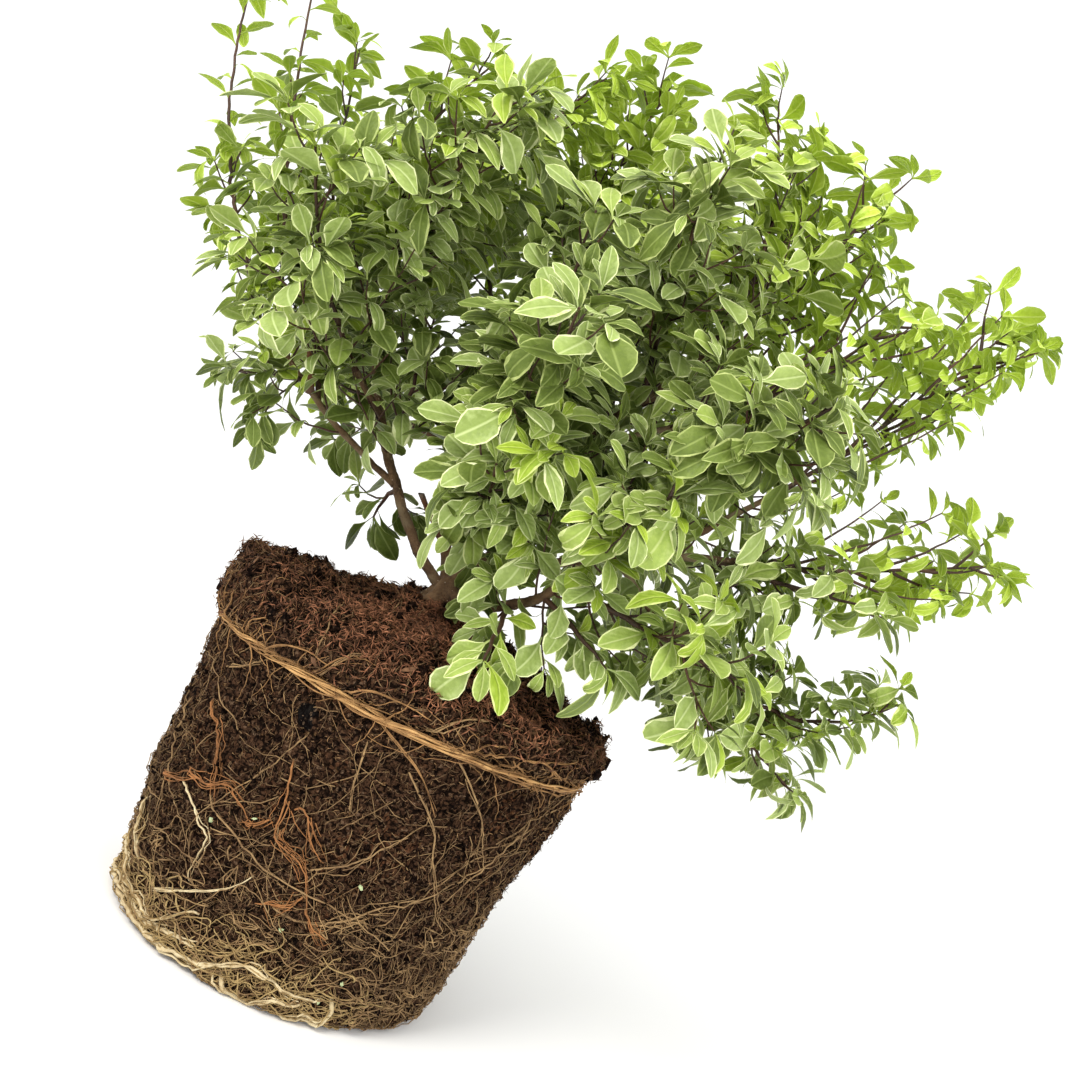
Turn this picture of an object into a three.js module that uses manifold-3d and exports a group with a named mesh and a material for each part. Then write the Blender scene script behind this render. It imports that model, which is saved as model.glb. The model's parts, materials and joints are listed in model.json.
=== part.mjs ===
// A small-leaved variegated evergreen shrub with several stems, knocked out of its nursery pot
// and standing on its bare root ball, which leans a little. Millimetres, +Z up, origin on the
// ball's flat underside below the middle of its collar, +X to the right and +Y to the back.
import * as THREE from "three";
import { mergeVertices } from "three/addons/utils/BufferGeometryUtils.js";
import Module from "manifold-3d";

const wasm = await Module();
wasm.setup();

const { degToRad, lerp, smoothstep } = THREE.MathUtils;
const UP = new THREE.Vector3(0, 0, 1);

const GAP = 0.3; // between neighbouring solids
const CORNER_SPACING = 0.006; // the least distance between two corners of a solid
const FINEST_EDGE = 0.05; // the shortest edge that a cut leaves on a leader

// Root ball, moulded by a two-litre pot
const FOOT_RADIUS = 67;
const WALL_RADIUS = 79.2; // where the wall meets the shoulder
const SHOULDER_HEIGHT = 109.5; // the step that the pot's rim left
const COLLAR_RADIUS = 83.8;
const COLLAR_HEIGHT = 130;
const SOIL_HEIGHT = 147; // the mound at the foot of the stems
const FOOT_ROUNDING = 4;
const WALL_SWELL = 0.8; // how far the wall bulges between foot and shoulder
const BALL_LEAN = 4.5; // how far the foot lies to the left of the collar
const MOUND_TILT = 2.6; // how much the mound is higher at the left rim, and lower at the right
const WALL_LUMP = 1.4;
const MOUND_LUMP = 3.2;
const BALL_SIDES = 32;

// Roots that circle the ball
const BAND_THICKNESS = 4;
const ROOT_SIDES = 5;
const FOOT_ROOT_THICKNESS = 3.6;
const FOOT_ROOT_FROM = 178; // bearings in degrees, anticlockwise from +X seen from above
const FOOT_ROOT_TO = 268;
const FOOT_ROOT_LOW = 5;
const FOOT_ROOT_HIGH = 17;
const FOOT_ROOT_STEPS = 12;

// Stool: the short trunk that every stem leaves
const STOOL_X = -3.5;
const STOOL_RADIUS = 6.4;
const STOOL_FLARE = 4.2;
const STOOL_HEIGHT = 12;
const STOOL_SIDES = 15;
const STEM_START = new THREE.Vector3(STOOL_X, 0, SOIL_HEIGHT + 5);

// Limbs
const LIMB_SIDES = 5;
const LIMB_STEPS = 4;
const STEM_THICKNESS = 5.2;
const STEM_TIP_THICKNESS = 3.4;
const LEADER_THICKNESS = 3;
const LEADER_TIP_THICKNESS = 2.2;
const SECTION_RADIUS = 0.1; // the section that a tube is drawn with before it is widened
const ONWARD_SHARE = 0.45; // of its length, how far a leader at a limb's tip keeps the limb's way

// Foliage
const LEAF_LENGTH = 35; // on the broad masses; thin sprays have smaller leaves
const LEAF_WIDTH_SHARE = 0.54;
const LEAF_WIDEST = 0.54; // of its length, how far from its root
const BROAD_SPREAD = 25; // the reach of side shoots from which leaves have their full size
const LEAST_LEAF_SCALE = 0.62;
const LEAF_FOLD = 1.5; // how far its two sides hang below its midrib, which makes it thick
const LEAF_SUNK = 0.5; // how far past the middle line of its twig its root lies
const LEAF_SPREAD = degToRad(52); // between a leaf and its twig
const LEAF_TURNS = 7; // the ways that a leaf is turned to find room
const YOUNG_LEAF_SHARE = 0.62; // the length of a young leaf, which grows where a whole one has no room
const LEAF_OUTWARDS = 1.3; // how far its face turns out of the crown, for each part upwards
const LEAF_ASTRAY = 1; // how far that strays
const LEAF_SPACING = 13;
const LEAST_LEADER_LEAVES = 5;
const TIP_LEAF_SPREAD = LEAF_SPREAD / 6;
const LAST_LEAF_SHARE = 0.85; // of a leaf, how far a shoot's last one stands past its stalk
const LAST_LEAF_SUNK = 1.5;
const LEADER_LEAVES_FROM = 0.12; // the share of a mass's leader below its first leaf
const SHOOT_LEAVES_FROM = 0.4;
const SHOOT_SPACING = 16;
const LEAST_SHOOTS = 4;
const FIRST_SHOOT = 0.1; // as shares of the leader
const LAST_SHOOT = 0.82;
const LOW_SHOOT_REACH = 1; // the reach of side shoots at the leader's start, as a share of spread
const HIGH_SHOOT_REACH = 0.4; // and at its end
const REACH_VARIES = 0.2;
const SHOOT_TURNS = 5; // the ways that a side shoot is turned before it is left out
const SHOOT_SPREAD = degToRad(50); // between a side shoot and its leader
const SHOOT_THICKNESS = 1.8;
const SHOOT_LIFT = 0.25; // how far a side shoot turns up to the light
const GOLDEN_ANGLE = degToRad(137.5);
const LEADER_SIDES = 4;
const SHOOT_SIDES = 3;
const SPACE_MARGIN = 1.2; // kept to the border with the next mass
const LIMB_MARGIN = 2.2; // kept between a leaf and a limb
const SOIL_MARGIN = 2;
const PATH_STEPS = 8;

// A point by its bearing (degrees), reach from the ball's axis and height
function tip(bearing, reach, height) {
  const angle = degToRad(bearing);
  return new THREE.Vector3(reach * Math.cos(angle), reach * Math.sin(angle), height);
}

// How much of the way sideways and upwards the middle of a limb's curve has gone
function bend(out, up) {
  return { out, up };
}

function stem(name, end, curvature) {
  return { name, end, curvature };
}

// A leader runs from its limb to the tip of a shoot's last leaf. One that goes on from a limb's tip
// has no bend of its own. bare is the share of it that is a bough with no leaves, and spread is how
// far its side shoots reach.
function leader(name, from, at, end, curvature, bare, spread) {
  return { name, from, at, end, curvature, bare, spread };
}

const STEMS = [
  stem("left", tip(180, 90, 262), bend(0.55, 0.22)),
  stem("right", tip(335, 40, 262), bend(0.1, 0.5)),
  stem("back_left", tip(128, 62, 262), bend(0.6, 0.35)),
  stem("far_right", tip(354, 98, 216), bend(0.35, 0.65)),
  stem("back", tip(62, 66, 246), bend(0.5, 0.4)),
  stem("low_front", tip(297, 78, 184), bend(0.8, 0.1)),
];

const ONWARD = null;
const LEADERS = [
  // The tall thin shoots on the left
  leader("far_left", "left", 0.42, tip(180, 187, 352), bend(0.85, 0.2), 0.34, 12),
  leader("left_spire", "far_left", 0.84, tip(177, 168, 364), bend(0.62, 0.4), 0, 13),
  leader("left_inner", "far_left", 0.55, tip(167, 151, 360), bend(0.6, 0.42), 0, 19),
  leader("left_front", "left", 0.62, tip(216, 137, 279), bend(0.7, 0.3), 0.2, 30),
  leader("left_low", "far_left", 0.7, tip(187, 127, 191), bend(0.5, 0.35), 0, 14),
  leader("left_foot", "left", 0.4, tip(166, 47, 155), bend(0.85, 0.1), 0, 14),
  leader("left_heart", "left", 0.5, tip(209, 63, 255), bend(0.4, 0.5), 0, 26),
  // The top, from left to right
  leader("upper_left", "left", 1, tip(184, 78, 364), ONWARD, 0, 20),
  leader("top_left", "left", 0.85, tip(158, 38, 391), bend(0.1, 0.45), 0, 24),
  leader("top_centre", "back_left", 0.8, tip(118, 25, 408), bend(0.35, 0.4), 0.15, 28),
  leader("top_right", "right", 1, tip(9, 29, 405), ONWARD, 0.2, 25),
  leader("top_far_right", "right", 0.86, tip(2, 91, 398), bend(0.75, 0.4), 0.25, 25),
  leader("upper_right", "right", 0.72, tip(352, 117, 344), bend(0.8, 0.45), 0.25, 30),
  // The right side, from top to bottom. Where the second number of a bend is under 0, the shoot
  // dips before it rises.
  leader("right_spire", "far_right", 0.72, tip(2, 170, 371), bend(0.6, 0.42), 0.3, 22),
  leader("right_mid", "far_right", 1, tip(1, 206, 268), ONWARD, 0, 17),
  leader("right_droop", "far_right", 0.9, tip(345, 158, 222), bend(0.6, 0.3), 0, 17),
  leader("right_foot", "far_right", 0.62, tip(357, 164, 140), bend(0.65, 0.75), 0.3, 22),
  leader("right_low", "right_foot", 0.7, tip(354, 186, 200), bend(0.7, -1.6), 0, 18),
  // The front
  leader("front_spire", "right", 0.6, tip(258, 74, 306), bend(0.9, 0.35), 0, 24),
  leader("front_top", "right", 0.95, tip(280, 84, 338), bend(0.6, 0.4), 0, 28),
  leader("front_upper_left", "left", 0.95, tip(234, 97, 326), bend(0.6, 0.45), 0, 28),
  leader("front_mid", "right", 0.4, tip(268, 130, 254), bend(0.8, 0.35), 0, 30),
  leader("front_heart", "right", 0.22, tip(266, 100, 203), bend(0.6, 0.5), 0, 24),
  leader("front_right", "right", 0.5, tip(305, 143, 266), bend(0.75, 0.35), 0.3, 25),
  leader("front_low", "low_front", 1, tip(293, 128, 218), ONWARD, 0, 24),
  leader("front_low_right", "low_front", 0.85, tip(318, 138, 172), bend(0.6, 0.6), 0.2, 26),
  leader("front_rim", "low_front", 0.7, tip(306, 104, 153), bend(0.7, 0.5), 0, 18),
  leader("front_foot", "low_front", 0.45, tip(281, 93, 137), bend(0.8, 0.4), 0, 10),
  // The back
  leader("back_top", "back", 1, tip(84, 84, 368), ONWARD, 0, 30),
  leader("back_upper_left", "back_left", 1, tip(138, 134, 326), ONWARD, 0.2, 30),
  leader("back_left_low", "back_left", 0.6, tip(138, 140, 222), bend(0.7, 0.45), 0.25, 30),
  leader("back_centre", "back", 0.8, tip(96, 148, 282), bend(0.7, 0.4), 0, 32),
  leader("back_right", "back", 0.9, tip(44, 156, 318), bend(0.7, 0.4), 0.25, 32),
  leader("back_right_low", "back", 0.6, tip(58, 152, 212), bend(0.7, 0.5), 0, 30),
];

// Dead ends: a torn one on the lowest left bough and a snapped one beside it on the stem
const STUB_THICKNESS = 3.2;
const STUBS = [
  { name: "torn", from: "far_left", at: 0.62, end: tip(188, 95, 216) },
  { name: "snapped", from: "back_left", at: 0.18, end: tip(196, 31, 184) },
];

// Repeatable random numbers from 0 to 1
function seeded(seed) {
  let state = seed >>> 0;
  return () => {
    state = (state + 0x6d2b79f5) >>> 0;
    let mixed = Math.imul(state ^ (state >>> 15), state | 1);
    mixed ^= mixed + Math.imul(mixed ^ (mixed >>> 7), mixed | 61);
    return ((mixed ^ (mixed >>> 14)) >>> 0) / 4294967296;
  };
}

// A closed geometry as a solid that can be joined and cut
function solidFrom(geometry) {
  const bare = geometry.clone();
  bare.deleteAttribute("normal");
  bare.deleteAttribute("uv");
  const merged = mergeVertices(bare, 1e-4);
  return new wasm.Manifold(
    new wasm.Mesh({
      numProp: 3,
      vertProperties: merged.attributes.position.array,
      triVerts: new Uint32Array(merged.index.array),
    }),
  );
}

// The largest body of a solid, without loose scraps or sealed hollows
function largestBody(solid) {
  return solid.decompose().reduce((best, body) => (body.volume() > best.volume() ? body : best));
}

// How many corners of a solid are too close to another to tell apart
function closeCorners(solid) {
  const { vertProperties, numProp, numVert } = solid.getMesh();
  const corners = Array.from({ length: numVert }, (_, i) =>
    new THREE.Vector3().fromArray(vertProperties, i * numProp),
  );
  corners.sort((a, b) => a.x - b.x);
  return corners.filter((corner, i) => {
    for (let j = i + 1; j < numVert && corners[j].x - corner.x < CORNER_SPACING; j++) {
      if (corner.distanceTo(corners[j]) < CORNER_SPACING) return true;
    }
    return false;
  }).length;
}

function meshFrom(name, solid, material) {
  const cut = solid.getMesh();
  const geometry = new THREE.BufferGeometry();
  const positions = new Float32Array(cut.numVert * 3);
  for (let i = 0; i < cut.numVert; i++) {
    positions.set(cut.vertProperties.subarray(i * cut.numProp, i * cut.numProp + 3), i * 3);
  }
  geometry.setAttribute("position", new THREE.BufferAttribute(positions, 3));
  geometry.setIndex(new THREE.BufferAttribute(cut.triVerts, 1));
  geometry.computeVertexNormals();
  const mesh = new THREE.Mesh(geometry, material);
  mesh.name = name;
  return mesh;
}

function paint(color, roughness) {
  return new THREE.MeshStandardMaterial({ color, roughness, metalness: 0, flatShading: true });
}

const SOIL = paint("#3d281d", 0.95);
const ROOT_TAN = paint("#bd9a5c", 0.8);
const ROOT_PALE = paint("#e0d2a8", 0.75);
const BARK = paint("#6f5947", 0.9);
const DEAD_WOOD = paint("#7b4630", 0.95);
const LEAF_GREY = paint("#6e8a5c", 0.6);
const LEAF_MID = paint("#7f9a52", 0.6);
const LEAF_FRESH = paint("#93b04b", 0.55);

// The curve from a limb's start to its tip
function limbCurve(start, end, { out, up }) {
  const middle = new THREE.Vector3(
    lerp(start.x, end.x, out),
    lerp(start.y, end.y, out),
    lerp(start.z, end.z, up),
  );
  return new THREE.QuadraticBezierCurve3(start, middle, end);
}

// The stretch of a curve between two shares of it
function stretchOf(curve, from, to) {
  const start = curve.getPoint(from);
  const end = curve.getPoint(to);
  const before = curve.v0.clone().lerp(curve.v1, from);
  const after = curve.v1.clone().lerp(curve.v2, from);
  const middle = start.clone().addScaledVector(after.sub(before), to - from);
  return new THREE.QuadraticBezierCurve3(start, middle, end);
}

// A closed tube along a curve that narrows evenly from its start to its end
function taperedTube(curve, startRadius, endRadius, sides, steps) {
  const corners = Array.from({ length: sides }, (_, i) => {
    const angle = (2 * Math.PI * i) / sides;
    return new THREE.Vector2(Math.cos(angle), Math.sin(angle)).multiplyScalar(SECTION_RADIUS);
  });
  const geometry = new THREE.ExtrudeGeometry(new THREE.Shape(corners), {
    steps,
    extrudePath: curve,
    bevelEnabled: false,
  });
  const centres = curve.getSpacedPoints(steps);
  const position = geometry.attributes.position;
  const point = new THREE.Vector3();
  for (let i = 0; i < position.count; i++) {
    point.fromBufferAttribute(position, i);
    const distances = centres.map((centre) => centre.distanceTo(point));
    const ring = distances.indexOf(Math.min(...distances));
    const radius = lerp(startRadius, endRadius, ring / steps);
    point.sub(centres[ring]).multiplyScalar(radius / SECTION_RADIUS).add(centres[ring]);
    position.setXYZ(i, point.x, point.y, point.z);
  }
  return solidFrom(geometry);
}

// Where the ball's middle lies to the right of the origin, at a height
function ballCentre(height) {
  return BALL_LEAN * (smoothstep(height, 0.35 * SHOULDER_HEIGHT, SHOULDER_HEIGHT) - 1);
}

// Lumps of the ball's surface, from -1 to 1, the same after a full turn
function lump(angle, height) {
  const slow = Math.sin(3 * angle + height / 17) * Math.cos(2 * angle - height / 29);
  const quick = Math.sin(7 * angle - height / 11) * Math.cos(5 * angle + height / 7);
  return 0.6 * slow + 0.4 * quick;
}

// The ball's profile from the middle of its underside to the top of its mound
function ballProfile() {
  const middle = SHOULDER_HEIGHT / 2;
  const step = COLLAR_RADIUS - WALL_RADIUS;
  return [
    [0, 0],
    [FOOT_RADIUS / 2, 0],
    [FOOT_RADIUS - FOOT_ROUNDING, 0],
    [FOOT_RADIUS, FOOT_ROUNDING],
    [lerp(FOOT_RADIUS, WALL_RADIUS, 0.25) + 0.6 * WALL_SWELL, middle / 2],
    [lerp(FOOT_RADIUS, WALL_RADIUS, 0.5) + WALL_SWELL, middle],
    [lerp(FOOT_RADIUS, WALL_RADIUS, 0.75) + 0.6 * WALL_SWELL, 1.5 * middle],
    [WALL_RADIUS, SHOULDER_HEIGHT - step],
    [WALL_RADIUS, SHOULDER_HEIGHT + BAND_THICKNESS / 2],
    [COLLAR_RADIUS, SHOULDER_HEIGHT + BAND_THICKNESS],
    [COLLAR_RADIUS, lerp(SHOULDER_HEIGHT, COLLAR_HEIGHT, 0.6)],
    [COLLAR_RADIUS - step, COLLAR_HEIGHT],
    [0.8 * COLLAR_RADIUS, lerp(COLLAR_HEIGHT, SOIL_HEIGHT, 0.35)],
    [0.5 * COLLAR_RADIUS, lerp(COLLAR_HEIGHT, SOIL_HEIGHT, 0.6)],
    [0.25 * COLLAR_RADIUS, lerp(COLLAR_HEIGHT, SOIL_HEIGHT, 0.85)],
    [0.18 * COLLAR_RADIUS, SOIL_HEIGHT],
    [0, SOIL_HEIGHT],
  ].map(([radius, height]) => new THREE.Vector2(radius, height));
}

function moundTilt(x) {
  return (-MOUND_TILT * x) / COLLAR_RADIUS;
}

// The soil ball: smooth under the stool, at the shoulder band and on its flat underside
function rootBall() {
  const geometry = new THREE.LatheGeometry(ballProfile(), BALL_SIDES).rotateX(Math.PI / 2);
  const position = geometry.attributes.position;
  for (let i = 0; i < position.count; i++) {
    const x = position.getX(i);
    const y = position.getY(i);
    const z = position.getZ(i);
    const radius = Math.max(1, Math.hypot(x, y));
    const relief = lump(Math.atan2(y, x), z);
    const offFoot = smoothstep(z, FOOT_ROUNDING, 4 * FOOT_ROUNDING);
    const offBand = smoothstep(Math.abs(z - SHOULDER_HEIGHT), BAND_THICKNESS / 2, 2.5 * BAND_THICKNESS);
    const onWall = 1 - smoothstep(z, lerp(SHOULDER_HEIGHT, COLLAR_HEIGHT, 0.6), COLLAR_HEIGHT);
    const offStool = smoothstep(radius, 0.2 * COLLAR_RADIUS, 0.5 * COLLAR_RADIUS);
    const outwards = 1 + (WALL_LUMP * relief * offFoot * offBand * onWall) / radius;
    const lumps = MOUND_LUMP * relief * (1 - onWall) * offStool;
    const tilt = moundTilt(x) * smoothstep(z, SHOULDER_HEIGHT + BAND_THICKNESS, COLLAR_HEIGHT) * offStool;
    position.setXYZ(i, x * outwards + ballCentre(z), y * outwards, z + lumps + tilt);
  }
  return solidFrom(geometry);
}

// The height of the ball's top, lumps included, under a point
function soilTop({ x, y }) {
  const radius = Math.hypot(x, y);
  if (radius > COLLAR_RADIUS + SOIL_MARGIN) return -Infinity;
  const rise = 1 - smoothstep(radius, 0.15 * COLLAR_RADIUS, COLLAR_RADIUS);
  return lerp(COLLAR_HEIGHT, SOIL_HEIGHT, rise) + MOUND_LUMP + moundTilt(x);
}

// The band of roots that fills the step under the collar
function shoulderBand() {
  const ring = new THREE.TorusGeometry(
    WALL_RADIUS + GAP + BAND_THICKNESS / 2,
    BAND_THICKNESS / 2,
    ROOT_SIDES,
    BALL_SIDES,
  );
  return solidFrom(ring.translate(0, 0, SHOULDER_HEIGHT - BAND_THICKNESS / 2));
}

// The thick pale roots that climb round the foot, from the left to the front
function footRoot(ballKeepOut) {
  const points = Array.from({ length: FOOT_ROOT_STEPS + 1 }, (_, i) => {
    const share = i / FOOT_ROOT_STEPS;
    const height = lerp(FOOT_ROOT_LOW, FOOT_ROOT_HIGH, share) + 1.6 * Math.sin(9 * share);
    const radius = lerp(FOOT_RADIUS, WALL_RADIUS, height / SHOULDER_HEIGHT) + FOOT_ROOT_THICKNESS / 2;
    const point = tip(lerp(FOOT_ROOT_FROM, FOOT_ROOT_TO, share), radius, height);
    point.x += ballCentre(height);
    return point;
  });
  const curve = new THREE.CatmullRomCurve3(points);
  const radius = FOOT_ROOT_THICKNESS / 2;
  const tube = taperedTube(curve, radius, 0.6 * radius, ROOT_SIDES, FOOT_ROOT_STEPS);
  return largestBody(tube.subtract(ballKeepOut));
}

// The stool, with a flat cut on the soil, root flare and a rounded crown between the stems
function stool(extra) {
  const radius = STOOL_RADIUS + extra;
  const foot = SOIL_HEIGHT + GAP;
  const profile = [
    [0, foot],
    [radius + STOOL_FLARE, foot],
    [radius + 0.55 * STOOL_FLARE, foot + 0.18 * STOOL_HEIGHT],
    [radius, foot + 0.5 * STOOL_HEIGHT],
    [0.86 * radius, foot + 0.82 * STOOL_HEIGHT + extra],
    [0.4 * radius, foot + STOOL_HEIGHT + extra],
    [0, foot + STOOL_HEIGHT + extra],
  ].map(([across, height]) => new THREE.Vector2(across, height));
  const geometry = new THREE.LatheGeometry(profile, STOOL_SIDES).rotateX(Math.PI / 2);
  const position = geometry.attributes.position;
  for (let i = 0; i < position.count; i++) {
    const x = position.getX(i);
    const y = position.getY(i);
    const low = 1 - smoothstep(position.getZ(i), foot, foot + 0.5 * STOOL_HEIGHT);
    const rooted = 1 + 0.16 * low * Math.sin(5 * Math.atan2(y, x));
    position.setX(i, x * rooted);
    position.setY(i, y * rooted);
  }
  return solidFrom(geometry.translate(STOOL_X, 0, 0));
}

// Limbs made so far: each keeps a solid that is its own grown by the gap, to cut the next ones with
const limbs = [];

function pathOf(curve) {
  return curve.getPoints(PATH_STEPS);
}

function addLimb(name, curve, startThickness, endThickness) {
  const start = startThickness / 2;
  const end = endThickness / 2;
  let solid = taperedTube(curve, start, end, LIMB_SIDES, LIMB_STEPS);
  for (const other of limbs) {
    solid = solid.subtract(other.keepOut);
  }
  const limb = {
    name,
    curve,
    startThickness,
    endThickness,
    path: pathOf(curve),
    solid: largestBody(solid),
    keepOut: taperedTube(curve, start + GAP, end + GAP, LIMB_SIDES, LIMB_STEPS),
  };
  limbs.push(limb);
  return limb;
}

// The stalk of a leader: it starts at its limb's middle line, or clear of the limb's tip
function curveFrom(limb, at, end, curvature, lastLeaf) {
  const start = limb.curve.getPoint(at);
  let whole;
  if (curvature === ONWARD) {
    const way = limb.curve.getTangent(at);
    start.addScaledVector(way, GAP);
    const middle = start.clone().addScaledVector(way, ONWARD_SHARE * start.distanceTo(end));
    whole = new THREE.QuadraticBezierCurve3(start, middle, end);
  } else {
    whole = limbCurve(start, end, curvature);
  }
  return stretchOf(whole, 0, 1 - lastLeaf / whole.getLength());
}

// The nearest that a path comes to a point
function distanceTo(path, point) {
  const stretch = new THREE.Line3();
  const nearest = new THREE.Vector3();
  let least = Infinity;
  for (let i = 1; i < path.length; i++) {
    stretch.set(path[i - 1], path[i]).closestPointToPoint(point, true, nearest);
    least = Math.min(least, nearest.distanceTo(point));
  }
  return least;
}

// Whether points lie in a mass's own space: nearer its leader than any other, above the soil and
// clear of the limbs
function fits(mass, masses, points, thickness) {
  return points.every((point) => {
    if (point.z < soilTop(point) + SOIL_MARGIN) return false;
    const own = distanceTo(mass.path, point) + thickness + SPACE_MARGIN;
    if (masses.some((other) => other !== mass && distanceTo(other.path, point) < own)) return false;
    return limbs.every((limb) => {
      const clear = limb.startThickness / 2 + thickness + LIMB_MARGIN;
      return distanceTo(limb.path, point) > clear;
    });
  });
}

// A leaf's corners: its root, its right side, its tip and its left side. Its upper face is turned
// to the light.
function leafCorners(root, along, light, length) {
  const across = new THREE.Vector3().crossVectors(along, light).normalize();
  const down = new THREE.Vector3().crossVectors(along, across);
  const corner = (far, side) =>
    root
      .clone()
      .addScaledVector(along, far)
      .addScaledVector(across, side * LEAF_WIDTH_SHARE * length)
      .addScaledVector(down, 2 * Math.abs(side) * LEAF_FOLD);
  return [
    corner(-LEAF_SUNK, 0),
    corner(LEAF_WIDEST * length, 0.5),
    corner(length, 0),
    corner(LEAF_WIDEST * length, -0.5),
  ];
}

// Two faces along the midrib above and two below, from the root to the sides and on to the tip
const LEAF_FACES = [
  [0, 1, 2],
  [0, 2, 3],
  [0, 3, 1],
  [1, 3, 2],
].flat();

function leafSolid(corners) {
  const geometry = new THREE.BufferGeometry().setFromPoints(corners);
  geometry.setIndex(LEAF_FACES);
  return solidFrom(geometry);
}

// The direction that leaves a stalk at an angle to it, turned about it
function directionFrom(tangent, spread, turn) {
  const side = new THREE.Vector3().crossVectors(tangent, UP);
  if (side.length() < 0.1) side.set(1, 0, 0);
  side.normalize();
  side.applyAxisAngle(tangent, turn);
  return tangent.clone().multiplyScalar(Math.cos(spread)).addScaledVector(side, Math.sin(spread));
}

// The straight stretches that a tube along a curve is made of
function stretchesOf(curve, steps) {
  const centres = curve.getSpacedPoints(steps);
  const path = new THREE.CurvePath();
  for (let i = 0; i < steps; i++) {
    path.add(new THREE.LineCurve3(centres[i], centres[i + 1]));
  }
  return path;
}

function boxOf(solid) {
  const { min, max } = solid.boundingBox();
  return new THREE.Box3(new THREE.Vector3(...min), new THREE.Vector3(...max));
}

// A mass of foliage: a leader with side shoots and leaves, all joined. Nothing in it touches
// anything but the stalk that carries it.
function growMass(mass, masses) {
  const random = seeded(mass.seed);
  const radius = mass.thickness / 2;
  const tube = taperedTube(mass.curve, radius, LEADER_TIP_THICKNESS / 2, LEADER_SIDES, LIMB_STEPS);
  const cut = limbs.reduce((solid, limb) => solid.subtract(limb.keepOut), tube);
  const trunk = largestBody(cut.simplify(FINEST_EDGE));
  let whole = trunk;
  const pieces = [{ solid: trunk, box: boxOf(trunk) }];

  const addPiece = (solid, carrier) => {
    const box = boxOf(solid);
    const touches = (piece) =>
      piece.solid !== carrier && piece.box.intersectsBox(box) && !piece.solid.intersect(solid).isEmpty();
    if (pieces.some(touches)) return false;
    const joined = whole.add(solid);
    if (closeCorners(joined) > closeCorners(trunk)) return false;
    whole = joined;
    pieces.push({ solid, box });
    return true;
  };

  const addLeaf = (corners, carrier) => {
    const midrib = [0.3, 0.65].map((share) => corners[0].clone().lerp(corners[2], share));
    const edges = corners.map((corner, i) => corner.clone().lerp(corners[(i + 1) % 4], 0.5));
    if (!fits(mass, masses, [...corners, ...midrib, ...edges], 0)) return false;
    return addPiece(leafSolid(corners), carrier);
  };

  // Leaves along a stalk, each turned by the golden angle from the one before, and one at its tip.
  // A leaf with no room is turned further, then made young, and then left out.
  const addLeaves = (stalk, carrier, firstTurn, from, least) => {
    const length = stalk.getLength();
    const count = Math.max(least, Math.round(((1 - from) * length) / (mass.leafScale * LEAF_SPACING)));
    for (let i = count; i >= 0; i--) {
      const at = lerp(from, 1 - LAST_LEAF_SUNK / length, i / count);
      const tangent = stalk.getTangent(at);
      const root = stalk.getPoint(at);
      const light = new THREE.Vector3(root.x, root.y, 0).setLength(LEAF_OUTWARDS).add(UP);
      light.x += LEAF_ASTRAY * (random() - 0.5);
      light.y += LEAF_ASTRAY * (random() - 0.5);
      const spread = i === count ? TIP_LEAF_SPREAD : LEAF_SPREAD;
      for (let tried = 0; tried < 2 * LEAF_TURNS; tried++) {
        const turn = firstTurn + i * GOLDEN_ANGLE + (tried * 2 * Math.PI) / LEAF_TURNS;
        const along = directionFrom(tangent, spread, turn);
        const size = tried < LEAF_TURNS ? mass.leafScale : YOUNG_LEAF_SHARE * mass.leafScale;
        if (addLeaf(leafCorners(root, along, light, size * LEAF_LENGTH), carrier)) break;
      }
    }
  };

  const stalk = stretchesOf(mass.curve, LIMB_STEPS);
  addLeaves(stalk, trunk, mass.seed, LEADER_LEAVES_FROM, LEAST_LEADER_LEAVES);
  const shoots = Math.max(LEAST_SHOOTS, Math.round(stalk.getLength() / SHOOT_SPACING));
  for (let i = 0; i < shoots; i++) {
    const at = lerp(FIRST_SHOOT, LAST_SHOOT, i / (shoots - 1));
    const varied = 1 + REACH_VARIES * (2 * random() - 1);
    const reach = mass.spread * lerp(LOW_SHOOT_REACH, HIGH_SHOOT_REACH, at) * varied;
    const firstTurn = i * GOLDEN_ANGLE + 2 * Math.PI * random();
    const start = stalk.getPoint(at);
    for (let turned = 0; turned < SHOOT_TURNS; turned++) {
      const turn = firstTurn + (turned * 2 * Math.PI) / SHOOT_TURNS;
      const away = directionFrom(stalk.getTangent(at), SHOOT_SPREAD, turn);
      away.z += SHOOT_LIFT;
      const end = start.clone().addScaledVector(away.normalize(), reach);
      const line = new THREE.LineCurve3(start, end);
      if (!fits(mass, masses, line.getPoints(4), SHOOT_THICKNESS / 2)) continue;
      const shoot = taperedTube(line, SHOOT_THICKNESS / 2, SHOOT_THICKNESS / 2, SHOOT_SIDES, 1);
      if (!addPiece(shoot, trunk)) continue;
      addLeaves(line, shoot, turn, SHOOT_LEAVES_FROM, 1);
      break;
    }
  }
  return largestBody(whole);
}

// Leaves are freshest at the top and on the right
const GREY_BELOW = 100; // by height over the soil and place to the right together
const FRESH_FROM = 285;

function toneOf({ end }) {
  const light = end.x + 1.4 * (end.z - SOIL_HEIGHT);
  if (light < GREY_BELOW) return LEAF_GREY;
  return light < FRESH_FROM ? LEAF_MID : LEAF_FRESH;
}

const ballGroup = new THREE.Group();
const ball = rootBall();
ballGroup.add(meshFrom("root_ball", ball, SOIL));
ballGroup.add(meshFrom("shoulder_root_band", shoulderBand(), ROOT_TAN));
const ballScale = (FOOT_RADIUS + GAP) / FOOT_RADIUS;
ballGroup.add(meshFrom("foot_root", footRoot(ball.scale([ballScale, ballScale, 1])), ROOT_PALE));

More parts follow.
